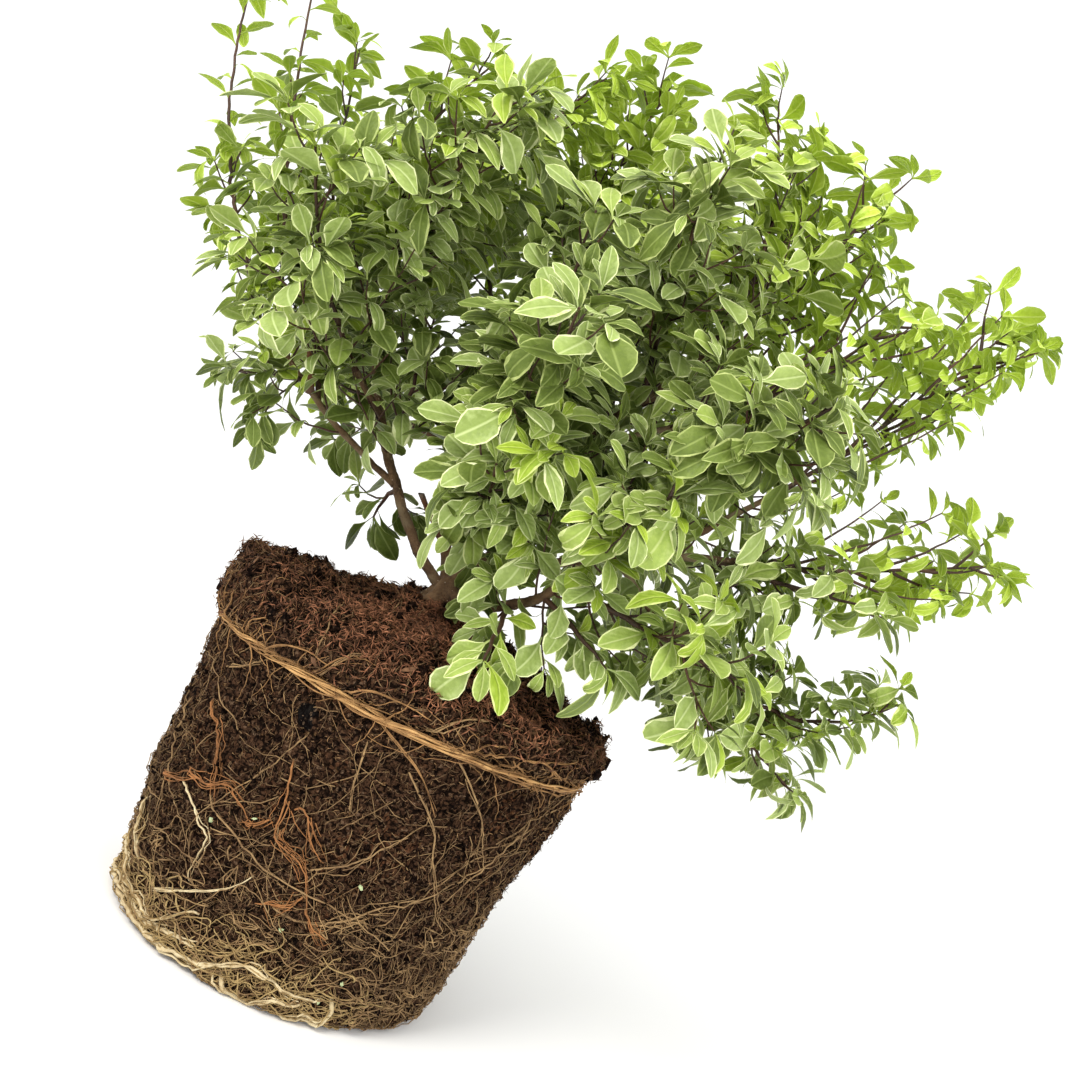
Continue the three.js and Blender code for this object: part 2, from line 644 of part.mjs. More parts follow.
const woodGroup = new THREE.Group();
woodGroup.add(meshFrom("stool", stool(0), BARK));
const stoolKeepOut = stool(GAP);
for (const { name, end, curvature } of STEMS) {
  const limb = addLimb(name, limbCurve(STEM_START, end, curvature), STEM_THICKNESS, STEM_TIP_THICKNESS);
  limb.solid = largestBody(limb.solid.subtract(stoolKeepOut));
  woodGroup.add(meshFrom("stem_" + name, limb.solid, BARK));
}

const masses = LEADERS.map(({ name, from, at, end, curvature, bare, spread }, index) => {
  const carrier = limbs.find((limb) => limb.name === from);
  const leafScale = THREE.MathUtils.clamp(spread / BROAD_SPREAD, LEAST_LEAF_SCALE, 1);
  const lastLeaf = LAST_LEAF_SHARE * leafScale * LEAF_LENGTH;
  const whole = curveFrom(carrier, at, end, curvature, lastLeaf);
  const thickness = lerp(LEADER_THICKNESS, LEADER_TIP_THICKNESS, bare);
  let curve = whole;
  if (bare > 0) {
    const bough = addLimb(name, stretchOf(whole, 0, bare), LEADER_THICKNESS, thickness);
    woodGroup.add(meshFrom("bough_" + name, bough.solid, BARK));
    curve = stretchOf(whole, bare + GAP / whole.getLength(), 1);
  }
  return { name, end, curve, thickness, spread, leafScale, path: pathOf(curve), seed: index + 1 };
});

for (const { name, from, at, end } of STUBS) {
  const start = limbs.find((limb) => limb.name === from).curve.getPoint(at);
  const stub = addLimb(name, limbCurve(start, end, bend(0.5, 0.5)), STUB_THICKNESS, 0.8 * STUB_THICKNESS);
  woodGroup.add(meshFrom("dead_stub_" + name, stub.solid, DEAD_WOOD));
}

const crownGroup = new THREE.Group();
for (const mass of masses) {
  crownGroup.add(meshFrom("foliage_" + mass.name, growMass(mass, masses), toneOf(mass)));
}

const plant = new THREE.Group();
plant.add(ballGroup, woodGroup, crownGroup);
export default plant;
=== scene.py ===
import json
import math
from collections import namedtuple

import bmesh
import bpy
import numpy as np
from mathutils import Matrix, Vector, noise

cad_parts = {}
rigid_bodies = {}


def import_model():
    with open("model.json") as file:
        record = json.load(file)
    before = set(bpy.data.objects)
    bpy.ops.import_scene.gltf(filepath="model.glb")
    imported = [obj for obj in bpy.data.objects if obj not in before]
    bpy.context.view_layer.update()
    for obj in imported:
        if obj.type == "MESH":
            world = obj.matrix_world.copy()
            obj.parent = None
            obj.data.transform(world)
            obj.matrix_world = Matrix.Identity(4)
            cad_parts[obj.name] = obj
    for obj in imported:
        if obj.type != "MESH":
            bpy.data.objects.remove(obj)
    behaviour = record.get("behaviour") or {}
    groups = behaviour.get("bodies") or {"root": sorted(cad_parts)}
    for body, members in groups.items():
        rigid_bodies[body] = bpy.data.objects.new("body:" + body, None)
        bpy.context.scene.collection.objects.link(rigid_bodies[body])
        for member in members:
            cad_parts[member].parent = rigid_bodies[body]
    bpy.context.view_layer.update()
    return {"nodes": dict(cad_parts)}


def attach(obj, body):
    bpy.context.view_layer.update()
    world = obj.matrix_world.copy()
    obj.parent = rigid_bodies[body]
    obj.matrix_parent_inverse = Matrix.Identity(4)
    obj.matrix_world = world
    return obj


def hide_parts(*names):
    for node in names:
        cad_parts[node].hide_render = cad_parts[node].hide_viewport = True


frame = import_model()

MM = 0.001
UP = np.array([0.0, 0.0, 1.0])
GOLDEN_ANGLE = math.radians(137.5)

# Where the random numbers of each set of pieces start
SEEDS = {
    "fine_roots": 11,
    "collar_fibres": 12,
    "standing_roots": 13,
    "foot_roots": 14,
    "shoulder_roots": 15,
    "crumbs": 16,
    "leaf_shapes": 21,
}
FIRST_LEADER_SEED = 1
FIRST_LIMB_SEED = 101

# The camera: where it stands, how it is turned, and its focal length in pixels of the picture
PICTURE_SIZE = 1080
CAMERA_PLACE = (0.0, -419.0, 170.0)
CAMERA_YAW = math.radians(2.97)
CAMERA_PITCH = math.radians(-2.60)
CAMERA_ROLL = math.radians(26.08)
CAMERA_FOCAL = 1015.0
SENSOR_WIDTH = 36.0
NEAREST_SEEN = 0.01  # in metres

FLOOR_REACH = 4000

# Light from all round, and lamps: name, place, aim and width in metres, power and tint
WORLD_STRENGTH = 1.18
LAMPS = (
    ("key", (-0.7, -0.9, 1.1), (0, 0, 0.22), 0.6, 16, (1.0, 0.98, 0.95)),
    ("fill", (0.75, -1.1, 0.3), (0, 0, 0.2), 0.9, 8, (0.98, 0.99, 1.0)),
)

# Root ball
FOOT_RADIUS = 67.0
WALL_RADIUS = 79.2
SHOULDER_HEIGHT = 109.5
COLLAR_RADIUS = 83.8
COLLAR_HEIGHT = 130.0
SOIL_HEIGHT = 147.0
FOOT_ROUNDING = 4.0
WALL_SWELL = 0.8
WALL_LUMP = 1.4
MOUND_LUMP = 3.2
MOUND_TILT = 2.6  # how much the mound is higher at the left rim, and lower at the right
BALL_LEAN = 4.5  # how far the foot lies to the left of the collar
BAND_THICKNESS = 4.0
BALL_COLUMNS = 420
BALL_STEP = 1.25  # between rows of the ball's wall and top
# The peat's clods, lumps and crumbs: size, the place of their noise, how far they stand out on the
# wall, and how much further on the mound
PEAT_RELIEF = (
    (9, 0, 1, 4.2),
    (3.2, 50, 1.4, 1.6),
    (1.5, 90, 0.9, 0.6),
)
PEAT_SUNK = 0.3

# Roots on the ball: how many there are of some kinds, and the points or the step along each
COLLAR_FIBRES = 1900
TANGLED_ROOTS = 760
SIDE_ROOTS = 230
SIDE_ROOT_POINTS = 12
BAND_POINTS = 361
ROUTE_STEP = 1.6

# Stool, where every stem starts
STOOL_X = -3.5
STOOL_RADIUS = 6.4
STOOL_SIDES = 40
# Rows of its bark by share of the radius and height over the soil, and its top
STOOL_ROWS = ((1.7, -1.5), (1.45, 0.6), (1.2, 2.4), (1.0, 5.2), (0.92, 8.0), (0.72, 10.6), (0.4, 12.2))
STOOL_TOP = 12.6
STEM_START = (STOOL_X, 0.0, SOIL_HEIGHT + 5)

# Limbs and twigs
STEM_THICKNESS = 5.2
STEM_TIP_THICKNESS = 3.4
LEADER_THICKNESS = 3.0
LEADER_TIP_THICKNESS = 2.2
TWIG_TIP_THICKNESS = 0.9
SHOOT_THICKNESS = 1.05
SHOOT_TIP_THICKNESS = 0.55
ONWARD_SHARE = 0.45
LIMB_STEP = 1.2
LIMB_SIDES = 14
BARK_SHARE = 0.88  # of a limb's thickness, before the bark's relief
BARK_RIDGE = 0.085  # heights of the relief, as shares of a limb's thickness
BARK_GRAIN = 0.045

# Foliage
LEAF_LENGTH = 18.5
LEAF_SPACING = 4.7
LEAF_SPREAD = math.radians(50)
LEAF_OUTWARDS = 0.9
LEAF_ASTRAY = 1.1
SHOOT_SPACING = 6.8
SHOOT_SPREAD = math.radians(48)
BACK_REACH = 1.35  # of the side shoots behind, which fill the crown there
FAN_FULLNESS = 0.62  # high on the right, where long shoots lie close along their leader
RIM_FULLNESS = 0.28  # where shoots hang over the rim of the ball
LONGEST_FAN_SHOOT = 80.0
FAN_SHOOT_THICKNESS = 1.8
FAN_STRAIGHTNESS = 0.5
HANG = np.array([0.25, 0.0, -0.55])  # how the fan's leaves droop, down and outwards
SHOOT_LIFT = 0.45
LOW_SHOOT_REACH = 1.5  # the reach of side shoots at a leader's start, as a share of its spread
HIGH_SHOOT_REACH = 0.6
LIMB_CLEARANCE = 2.5
SHOOT_CLEARANCE = LIMB_CLEARANCE + 3
SHORTEST_SHOOT = 12.0
BRANCHING_REACH = 24.0  # of a side shoot that has side shoots of its own
LEADER_ZIGZAG = 1.3
SHOOT_ZIGZAG = 0.9
LEAST_FULLNESS = 0.95  # how many side shoots there are on the left
GREATEST_FULLNESS = 1.15  # and on the right
INNER_SHOOTS_FROM = 0.5  # of a stem's length
LOW_SHOOTS_FROM = 0.38  # of the lowest stem
BOUGH_SHOOTS_FROM = 0.3
INNER_SHOOT_SPACING = 9.0
INNER_SHOOT_REACH = 30.0
LEAF_ROWS = np.array([0, 0.1, 0.2, 0.35, 0.52, 0.69, 0.84, 0.95, 1.0])
LEAF_STALK = 0.022  # half widths of the stalk and of the tip, and the width of the pale edge
LEAF_TIP = 0.012
LEAF_EDGE = 0.026
# Forms of leaf: half width, fullness towards the tip, the tip's bluntness (rounder where it is
# lower), least and greatest bend, and how many kinds of leaf have the form
LEAF_FORMS = (
    ((0.265, 1.5, 0.5, 0.4, 1.3), 4),
    ((0.22, 1.25, 0.6, 0.5, 1.6), 4),
    ((0.17, 1.1, 0.8, 0.7, 1.8), 2),
    ((0.2, 1.2, 0.65, 1.8, 2.8), 1),
)
LEAF_KINDS = sum(count for _, count in LEAF_FORMS)
NARROWER_KINDS_FROM = 5  # the fresher half of the tones has no leaves of the kinds before it

# Tones of green, each up to a limit of light: the blade's dark, light and rib, the edge's pale and
# dull, and the name of the finish. Which tone a spray takes is painted light and shade: the darker
# tones stand for shade inside the crown, the fresher ones for light on top and outside, which is
# partly also the real yellow-green of young growth.
TONES = {
    "deep": (("495822", "697a32", "919f58"), ("b4be78", "82904c"), "leaf_grey_green"),
    "grey": (("73853f", "9bad60", "c2cf90"), ("e4e8b6", "bac680"), "leaf_grey_green"),
    "sage": (("768a3c", "9bae54", "bfca84"), ("dee4a8", "b2bf72"), "leaf_green"),
    "mid": (("7a922a", "9bb13c", "bbc96a"), ("d2da8e", "a8b860"), "leaf_green"),
    "fresh": (("88a02c", "a8be3e", "c5d470"), ("c4d470", "a0b848"), "leaf_fresh"),
    "lime": (("99b333", "b9cf4c", "d3e182"), ("cbdb78", "afc752"), "leaf_fresh"),
}
TONE_NAMES = tuple(TONES)
TONE_LIMITS = (0.2, 0.38, 0.54, 0.72, 1.05)

# The painted light and shade that the limits are for: at the crown's foot, what height, a place to
# the right and one on the outside add, what each side adds, what the front takes off as painted
# shade, and the most low in front, where leaves are lightened against the shade from above
LIGHT_AT_FOOT = 0.07
LIGHT_OF_HEIGHT = 0.7
LIGHT_TO_RIGHT = 0.16
LIGHT_OUTSIDE = 0.5
LIGHT_AT_LEFT_SIDE = 0.13
LIGHT_AT_RIGHT_SIDE = 0.14
PAINTED_SHADE_IN_FRONT = 0.4
MOST_PAINTED_LIGHT_LOW_IN_FRONT = 0.42
CROWN_MIDDLE = np.array([0, 0, 250])
CROWN_REACH = np.array([200, 190, 150])


def tip(bearing, reach, height):
    """A point by its bearing (degrees), reach from the ball's axis and height."""
    angle = math.radians(bearing)
    return (reach * math.cos(angle), reach * math.sin(angle), height)


# Stems: end, and how far sideways and upwards the middle of the curve has gone
STEMS = {
    "left": (tip(180, 90, 262), 0.55, 0.22),
    "right": (tip(335, 40, 262), 0.1, 0.5),
    "back_left": (tip(128, 62, 262), 0.6, 0.35),
    "far_right": (tip(354, 98, 216), 0.35, 0.65),
    "back": (tip(62, 66, 246), 0.5, 0.4),
    "low_front": (tip(297, 78, 184), 0.8, 0.1),
}
ONWARD = None

# Leaders: limb, share of the limb, end, bend, the share with no leaves, and spread. The second
# number of a bend is under 0 where a shoot dips first.
LEADERS = {
    "far_left": ("left", 0.42, tip(180, 187, 352), (0.85, 0.2), 0.34, 12),
    "left_spire": ("far_left", 0.84, tip(177, 168, 364), (0.62, 0.4), 0, 13),
    "left_inner": ("far_left", 0.55, tip(167, 151, 360), (0.6, 0.42), 0, 19),
    "left_front": ("left", 0.62, tip(216, 137, 279), (0.7, 0.3), 0.2, 30),
    "left_low": ("far_left", 0.7, tip(187, 127, 191), (0.5, 0.35), 0, 14),
    "left_foot": ("left", 0.4, tip(166, 47, 155), (0.85, 0.1), 0, 14),
    "left_heart": ("left", 0.5, tip(209, 63, 255), (0.4, 0.5), 0, 26),
    "upper_left": ("left", 1, tip(184, 78, 364), ONWARD, 0, 20),
    "top_left": ("left", 0.85, tip(158, 38, 391), (0.1, 0.45), 0, 24),
    "top_centre": ("back_left", 0.8, tip(118, 25, 408), (0.35, 0.4), 0.15, 28),
    "top_right": ("right", 1, tip(9, 29, 405), ONWARD, 0.2, 25),
    "top_far_right": ("right", 0.86, tip(2, 91, 398), (0.75, 0.4), 0.25, 25),
    "upper_right": ("right", 0.72, tip(352, 117, 344), (0.8, 0.45), 0.25, 30),
    "right_spire": ("far_right", 0.72, tip(2, 170, 371), (0.6, 0.42), 0.3, 22),
    "right_mid": ("far_right", 1, tip(1, 206, 268), ONWARD, 0, 17),
    "right_droop": ("far_right", 0.9, tip(345, 158, 222), (0.6, 0.3), 0, 17),
    "right_foot": ("far_right", 0.62, tip(357, 164, 140), (0.65, 0.75), 0.3, 22),
    "right_low": ("right_foot", 0.7, tip(354, 186, 200), (0.7, -1.6), 0, 18),
    "front_spire": ("right", 0.6, tip(258, 74, 306), (0.9, 0.35), 0, 24),
    "front_top": ("right", 0.95, tip(280, 84, 338), (0.6, 0.4), 0, 28),
    "front_upper_left": ("left", 0.95, tip(234, 97, 326), (0.6, 0.45), 0, 28),
    "front_mid": ("right", 0.4, tip(268, 130, 254), (0.8, 0.35), 0, 30),
    "front_heart": ("right", 0.22, tip(266, 100, 203), (0.6, 0.5), 0, 24),
    "front_right": ("right", 0.5, tip(305, 143, 266), (0.75, 0.35), 0.3, 25),
    "front_low": ("low_front", 1, tip(293, 128, 218), ONWARD, 0, 24),
    "front_low_right": ("low_front", 0.85, tip(318, 138, 172), (0.6, 0.6), 0.2, 26),
    "front_rim": ("low_front", 0.7, tip(306, 104, 153), (0.7, 0.5), 0, 18),
    "front_foot": ("low_front", 0.45, tip(281, 93, 137), (0.8, 0.4), 0, 10),
    "back_top": ("back", 1, tip(84, 84, 368), ONWARD, 0, 30),
    "back_upper_left": ("back_left", 1, tip(138, 134, 326), ONWARD, 0.2, 30),
    "back_left_low": ("back_left", 0.6, tip(138, 140, 222), (0.7, 0.45), 0.25, 30),
    "back_centre": ("back", 0.8, tip(96, 148, 282), (0.7, 0.4), 0, 32),
    "back_right": ("back", 0.9, tip(44, 156, 318), (0.7, 0.4), 0.25, 32),
    "back_right_low": ("back", 0.6, tip(58, 152, 212), (0.7, 0.5), 0, 30),
}

# The mass that a stem's own side shoots belong to
INNER_MASS = {
    "left": "left_heart",
    "right": "front_mid",
    "back_left": "top_centre",
    "far_right": "right_droop",
    "back": "back_centre",
    "low_front": "front_rim",
}

# Dead ends: limb, share of the limb, end
STUBS = {
    "torn": ("far_left", 0.62, tip(188, 95, 216)),
    "snapped": ("back_left", 0.18, tip(196, 31, 184)),
}
STUB_THICKNESS = 3.2


# Arithmetic on arrays
def lerp(a, b, share):
    return a + (b - a) * share


def unit(vectors):
    return vectors / np.maximum(np.linalg.norm(vectors, axis=-1, keepdims=True), 1e-9)


def smoothstep(value, low, high):
    share = np.clip((value - low) / (high - low), 0, 1)
    return share * share * (3 - 2 * share)


def bumps(x, y, z):
    """Smooth noise at a point, between about -1 and 1."""
    return noise.noise(Vector((x, y, z)))


class Chance:
    """Repeatable random numbers, drawn as the solids' are."""

    def __init__(self, seed):
        self.state = seed & 0xFFFFFFFF

    def next(self):
        self.state = (self.state + 0x6D2B79F5) & 0xFFFFFFFF
        state = self.state
        mixed = ((state ^ (state >> 15)) * (state | 1)) & 0xFFFFFFFF
        step = ((mixed ^ (mixed >> 7)) * (mixed | 61)) & 0xFFFFFFFF
        mixed ^= (mixed + step) & 0xFFFFFFFF
        return ((mixed ^ (mixed >> 14)) & 0xFFFFFFFF) / 4294967296

    def between(self, low, high):
        return lerp(low, high, self.next())


class NodeTree:
    """What materials and growths share: one method makes every node."""

    def node(self, kind, settings=None, inputs=None):
        node = self.tree.nodes.new(kind)
        for key, value in (settings or {}).items():
            setattr(node, key, value)
        for key, value in (inputs or {}).items():
            self.feed(node.inputs[key], value)
        return node

    def feed(self, socket, value):
        if isinstance(value, Number):
            value = value.socket
        if isinstance(value, bpy.types.NodeSocket):
            self.tree.links.new(value, socket)
        else:
            socket.default_value = value


# Shader maths: a socket that Python's operators work on
class Number:
    def __init__(self, paint, socket):
        self.paint = paint
        self.socket = socket

    def _math(self, operation, *values):
        node = self.paint.node("ShaderNodeMath", {"operation": operation}, dict(enumerate(values)))
        return Number(self.paint, node.outputs[0])

    def __add__(self, other):
        return self._math("ADD", self, other)

    def __sub__(self, other):
        return self._math("SUBTRACT", self, other)

    def __rsub__(self, other):
        return self._math("SUBTRACT", other, self)

    def __mul__(self, other):
        return self._math("MULTIPLY", self, other)

    def __gt__(self, other):
        return self._math("GREATER_THAN", self, other)

    __radd__ = __add__
    __rmul__ = __mul__

    def __abs__(self):
        return self._math("ABSOLUTE", self)

    def sine(self):
        return self._math("SINE", self)

    def fitted(self, low, high, new_low=0.0, new_high=1.0):
        """The value with its range from low to high stretched to a new one, and held there."""
        inputs = {0: self, 1: low, 2: high, 3: new_low, 4: new_high}
        node = self.paint.node("ShaderNodeMapRange", {"clamp": True}, inputs)
        return Number(self.paint, node.outputs[0])


class Paint(NodeTree):
    """A material made from nodes. Its patterns lie in object coordinates, in millimetres."""

    def __init__(self, name):
        self.material = bpy.data.materials.new(name)
        self.material.use_nodes = True
        self.tree = self.material.node_tree
        self.surface = self.tree.nodes["Principled BSDF"]
        source = self.node("ShaderNodeTexCoord").outputs["Object"]
        self.place = self.scaled(source, (1 / MM, 1 / MM, 1 / MM))

    def scaled(self, place, scale):
        return self.node("ShaderNodeMapping", {}, {"Vector": place, "Scale": scale}).outputs[0]

    def mottle(self, size, detail=2.0, roughness=0.55):
        """Noise whose spots are about size millimetres, spread over the range from 0 to 1."""
        inputs = {"Vector": self.place, "Scale": 1 / size, "Detail": detail, "Roughness": roughness}
        node = self.node("ShaderNodeTexNoise", {}, inputs)
        return Number(self, node.outputs["Fac"]).fitted(0.3, 0.7)

    def flecks(self, size, scale=None):
        """A random value for each grain of about size millimetres, and the distance from its
        middle. A scale under 1 along an axis stretches the grains that way."""
        place = self.scaled(self.place, scale) if scale else self.place
        inputs = {"Vector": place, "Scale": 1 / size}
        node = self.node("ShaderNodeTexVoronoi", {"feature": "F1"}, inputs)
        split = self.node("ShaderNodeSeparateColor", {}, {"Color": node.outputs["Color"]})
        return Number(self, split.outputs[0]), Number(self, node.outputs["Distance"])

    def blend(self, share, first, second):
        """A mix of two colours, each a socket or a hexadecimal colour."""
        node = self.node("ShaderNodeMix", {"data_type": "RGBA"}, {"Factor": share})
        for index, tone in ((6, first), (7, second)):
            self.feed(node.inputs[index], colour(tone) if isinstance(tone, str) else tone)
        return node.outputs[2]

    def across_and_along(self, layer):
        """The two coordinates of a UV map."""
        vector = self.node("ShaderNodeUVMap", {"uv_map": layer}).outputs[0]
        split = self.node("ShaderNodeSeparateXYZ", {}, {"Vector": vector})
        return Number(self, split.outputs[0]), Number(self, split.outputs[1])

    def finish(self, tone, roughness, relief=None, depth=0.3, specular=0.3):
        """Set the surface. depth is the relief's height in millimetres."""
        self.feed(self.surface.inputs["Base Color"], tone)
        self.feed(self.surface.inputs["Roughness"], roughness)
        self.surface.inputs["Specular IOR Level"].default_value = specular
        if relief is not None:
            inputs = {"Height": relief, "Distance": depth * MM, "Strength": 1.0}
            bump = self.node("ShaderNodeBump", {}, inputs)
            self.feed(self.surface.inputs["Normal"], bump.outputs[0])
        return self.material


def colour(hexadecimal):
    """A hexadecimal sRGB colour as linear red, green, blue and alpha."""
    values = [int(hexadecimal[i : i + 2], 16) / 255 for i in (0, 2, 4)]
    return tuple(v / 12.92 if v <= 0.04045 else ((v + 0.055) / 1.055) ** 2.4 for v in values) + (1.0,)


# Materials
def peat_finish(name, dark, light, rust):
    paint = Paint(name)
    coarse = paint.mottle(14, 3)
    grain, distance = paint.flecks(0.9)
    upright, upright_edge = paint.flecks(1.1, (1, 1, 0.5))
    flat, flat_edge = paint.flecks(1.1, (0.6, 0.6, 1.1))
    lies = paint.mottle(4) > 0.5
    chip = lies * flat + (1 - lies) * upright
    edge = lies * flat_edge + (1 - lies) * upright_edge
    fine = paint.mottle(0.7, 4, 0.7)
    tone = paint.blend(coarse * 0.2 + grain * 0.35 + chip * 0.5, dark, light)
    rusty = (paint.mottle(22, 2) * chip).fitted(0.45, 0.75) * 0.6
    tone = paint.blend(rusty, tone, rust)
    # Painted highlights: pale flecks on a few grains.
    tone = paint.blend((grain > 0.92) * fine, tone, "8a7058")
    # Painted shade: near black along the edges of the chips, in the gaps between them.
    gap_painted_shade = edge.fitted(0.42, 0.66, 0.0, 0.9)
    tone = paint.blend(gap_painted_shade, tone, "080403")
    # Painted shade: near black in the crevices, where the fine relief is low.
    crevice_painted_shade = fine.fitted(0.0, 0.35, 0.8, 0.0)
    tone = paint.blend(crevice_painted_shade, tone, "0a0604")
    relief = fine * 0.6 + distance * -0.5 + edge * -0.9 + coarse * 0.3
    return paint.finish(tone, fine.fitted(0, 1, 0.75, 0.98), relief, 1.4, 0.03)


def root_finish(name, pale, dark, size=3.0):
    paint = Paint(name)
    streak = paint.mottle(size, 3)
    wide = paint.mottle(11, 2)
    tone = paint.blend(streak * 0.6 + wide * 0.5, dark, pale)
    return paint.finish(tone, wide.fitted(0, 1, 0.55, 0.85), paint.mottle(0.6, 3), 0.15, 0.15)


def bark_finish(name, dark, light, grey):
    paint = Paint(name)
    wide = paint.mottle(9, 3)
    fine = paint.mottle(0.8, 4, 0.7)
    spots, distance = paint.flecks(1.4)
    tone = paint.blend(wide * 0.6 + fine * 0.5, dark, light)
    tone = paint.blend(paint.mottle(16, 2).fitted(0.5, 0.9) * 0.8, tone, grey)
    tone = paint.blend((spots > 0.9) * distance.fitted(0.15, 0.3, 0.7, 0.0), tone, "b09a80")
    return paint.finish(tone, fine.fitted(0, 1, 0.6, 0.9), fine + distance * 0.4, 0.35, 0.25)


def twig_finish():
    paint = Paint("dark_twig")
    wide = paint.mottle(18, 2)
    fine = paint.mottle(0.7, 3)
    tone = paint.blend(wide, "1c110c", "4a2c1d")
    tone = paint.blend(fine * 0.28, tone, "70533a")
    return paint.finish(tone, fine.fitted(0, 1, 0.4, 0.7), fine, 0.12, 0.4)


def blade_finish(name, dark, light, rib):
    """The green of a leaf, washed out towards its edge, with a paler midrib and faint veins."""
    paint = Paint(name)
    across, along = paint.across_and_along("leaf")
    side = abs(across - 0.5)
    wide = paint.mottle(28, 2)
    fine = paint.mottle(2.4, 3)
    tone = paint.blend(wide * 0.55 + fine * 0.45, dark, light)
    wash = (side + paint.mottle(1.6, 3) * 0.3).fitted(0.36, 0.68)
    tone = paint.blend(wash * 0.38, tone, rib)
    midrib = side.fitted(0.012, 0.05, 0.6, 0.0)
    tone = paint.blend(midrib, tone, rib)
    relief = (along * 46 - side * 30).sine() * 0.12 + side.fitted(0.0, 0.09) + fine * 0.35
    return paint.finish(tone, fine.fitted(0, 1, 0.42, 0.58), relief, 0.25, 0.17)


def margin_finish(name, pale, dull):
    paint = Paint(name)
    tone = paint.blend(paint.mottle(3.0, 2), dull, pale)
    return paint.finish(tone, paint.mottle(2.0).fitted(0, 1, 0.45, 0.6), None, 0, 0.2)


PEAT = peat_finish("peat", "160d08", "684b37", "6a4229")
CRUMB_DARK = peat_finish("peat_crumb_dark", "0c0704", "33221a", "3e2418")
CRUMB_BROWN = peat_finish("peat_crumb_brown", "3a281b", "80603f", "744c32")
WOOD_CHIP = root_finish("wood_chip", "7c5a3f", "3c2619", 1.5)
COIR_DARK = root_finish("coir_dark", "7a5238", "1e110b", 2.0)
COIR_LIGHT = root_finish("coir_light", "a87252", "4a2a1b", 2.0)
SLIVER_BROWN = root_finish("sliver_brown", "6e5035", "2e1d13", 1.5)
SLIVER_TAN = root_finish("sliver_tan", "b08b60", "664a30", 1.5)
ROOT_FIBRE = root_finish("root_fibre", "8c7150", "3e2a1b")
ROOT_TAN = root_finish("root_tan", "a3855c", "58402a")
ROOT_GOLD = root_finish("root_gold", "cba26a", "8a6138", 5.0)
ROOT_AMBER = root_finish("root_amber", "a98052", "604429")
ROOT_RUST = root_finish("root_rust", "a47044", "684527")
ROOT_PALE = root_finish("root_pale", "d8c9a3", "977a4c")
ROOT_STRAW = root_finish("root_straw", "b39a68", "6b4f2e")
BEAD = root_finish("pale_bead", "c4cfa0", "9aa878", 1.0)
STONE = peat_finish("dark_stone", "0e0c0b", "26221f", "2c2621")
BARK = bark_finish("rough_bark", "3d2d1f", "86684a", "988868")
DEAD_WOOD = bark_finish("dead_wood", "4a2c1e", "85583c", "7d6f60")
TWIG = twig_finish()
BLADES = {tone: blade_finish(f"leaf_{tone}", *greens) for tone, (greens, _, _) in TONES.items()}
MARGINS = {tone: margin_finish(f"edge_{tone}", *creams) for tone, (_, creams, _) in TONES.items()}


# Making meshes
def link(name, mesh):
    piece = bpy.data.objects.new(name, mesh)
    bpy.context.scene.collection.objects.link(piece)
    return piece


def mesh_from(name, points, faces, material=None, edges=()):
    """A mesh, shaded smooth, from points in millimetres."""
    mesh = bpy.data.meshes.new(name)
    mesh.from_pydata((np.asarray(points) * MM).tolist(), edges, faces)
    if material:
        mesh.materials.append(material)
    if faces:
        mesh.shade_smooth()
    return mesh


def rings(rows, columns):
    """The numbers of the points of rings, and the quads between each ring and the next."""
    grid = np.arange(rows * columns).reshape(rows, columns)
    beside = np.roll(grid, -1, axis=1)
    quads = np.stack([grid[:-1], beside[:-1], beside[1:], grid[1:]], axis=-1)
    return grid, quads.reshape(-1, 4).tolist()


def fan(middle, ring, downwards=False):
    """Triangles between a ring and a point in its middle."""
    sides = zip(ring, np.roll(ring, -1))
    return [[middle, b, a] if downwards else [middle, a, b] for a, b in sides]


def add_values(mesh, name, kind, domain, values):
    layer = mesh.attributes.new(name, kind, domain)
    field = "vector" if kind == "FLOAT_VECTOR" else "value"
    layer.data.foreach_set(field, np.asarray(values).ravel())


class Growth(NodeTree):
    """A Geometry Nodes tree with named inputs."""

    def __init__(self, name, inputs):
        self.tree = bpy.data.node_groups.new(name, "GeometryNodeTree")
        face = self.tree.interface
        face.new_socket("Geometry", in_out="INPUT", socket_type="NodeSocketGeometry")
        self.sockets = {}
        for label, kind in inputs.items():
            self.sockets[label] = face.new_socket(label, in_out="INPUT", socket_type=kind).identifier
        face.new_socket("Geometry", in_out="OUTPUT", socket_type="NodeSocketGeometry")
        self.source = self.tree.nodes.new("NodeGroupInput")
        self.end = self.tree.nodes.new("NodeGroupOutput")

    def step(self, kind, inputs, settings=None):
        """What comes out of a new node."""
        return self.node(kind, settings, inputs).outputs[0]

    def named(self, name, kind):
        return self.step("GeometryNodeInputNamedAttribute", {"Name": name}, {"data_type": kind})

    def close(self, geometry):
        self.tree.links.new(geometry, self.end.inputs[0])
        return self

    def grow(self, piece, values):
        """Run the tree on a piece, and leave the piece as the plain mesh that comes out."""
        modifier = piece.modifiers.new("growth", "NODES")
        modifier.node_group = self.tree
        for label, value in values.items():
            modifier[self.sockets[label]] = value
        bpy.context.view_layer.update()
        view = bpy.context.evaluated_depsgraph_get()
        grown = bpy.data.meshes.new_from_object(piece.evaluated_get(view), depsgraph=view)
        seed_mesh = piece.data
        piece.modifiers.clear()
        piece.data = grown
        bpy.data.meshes.remove(seed_mesh)
        return piece


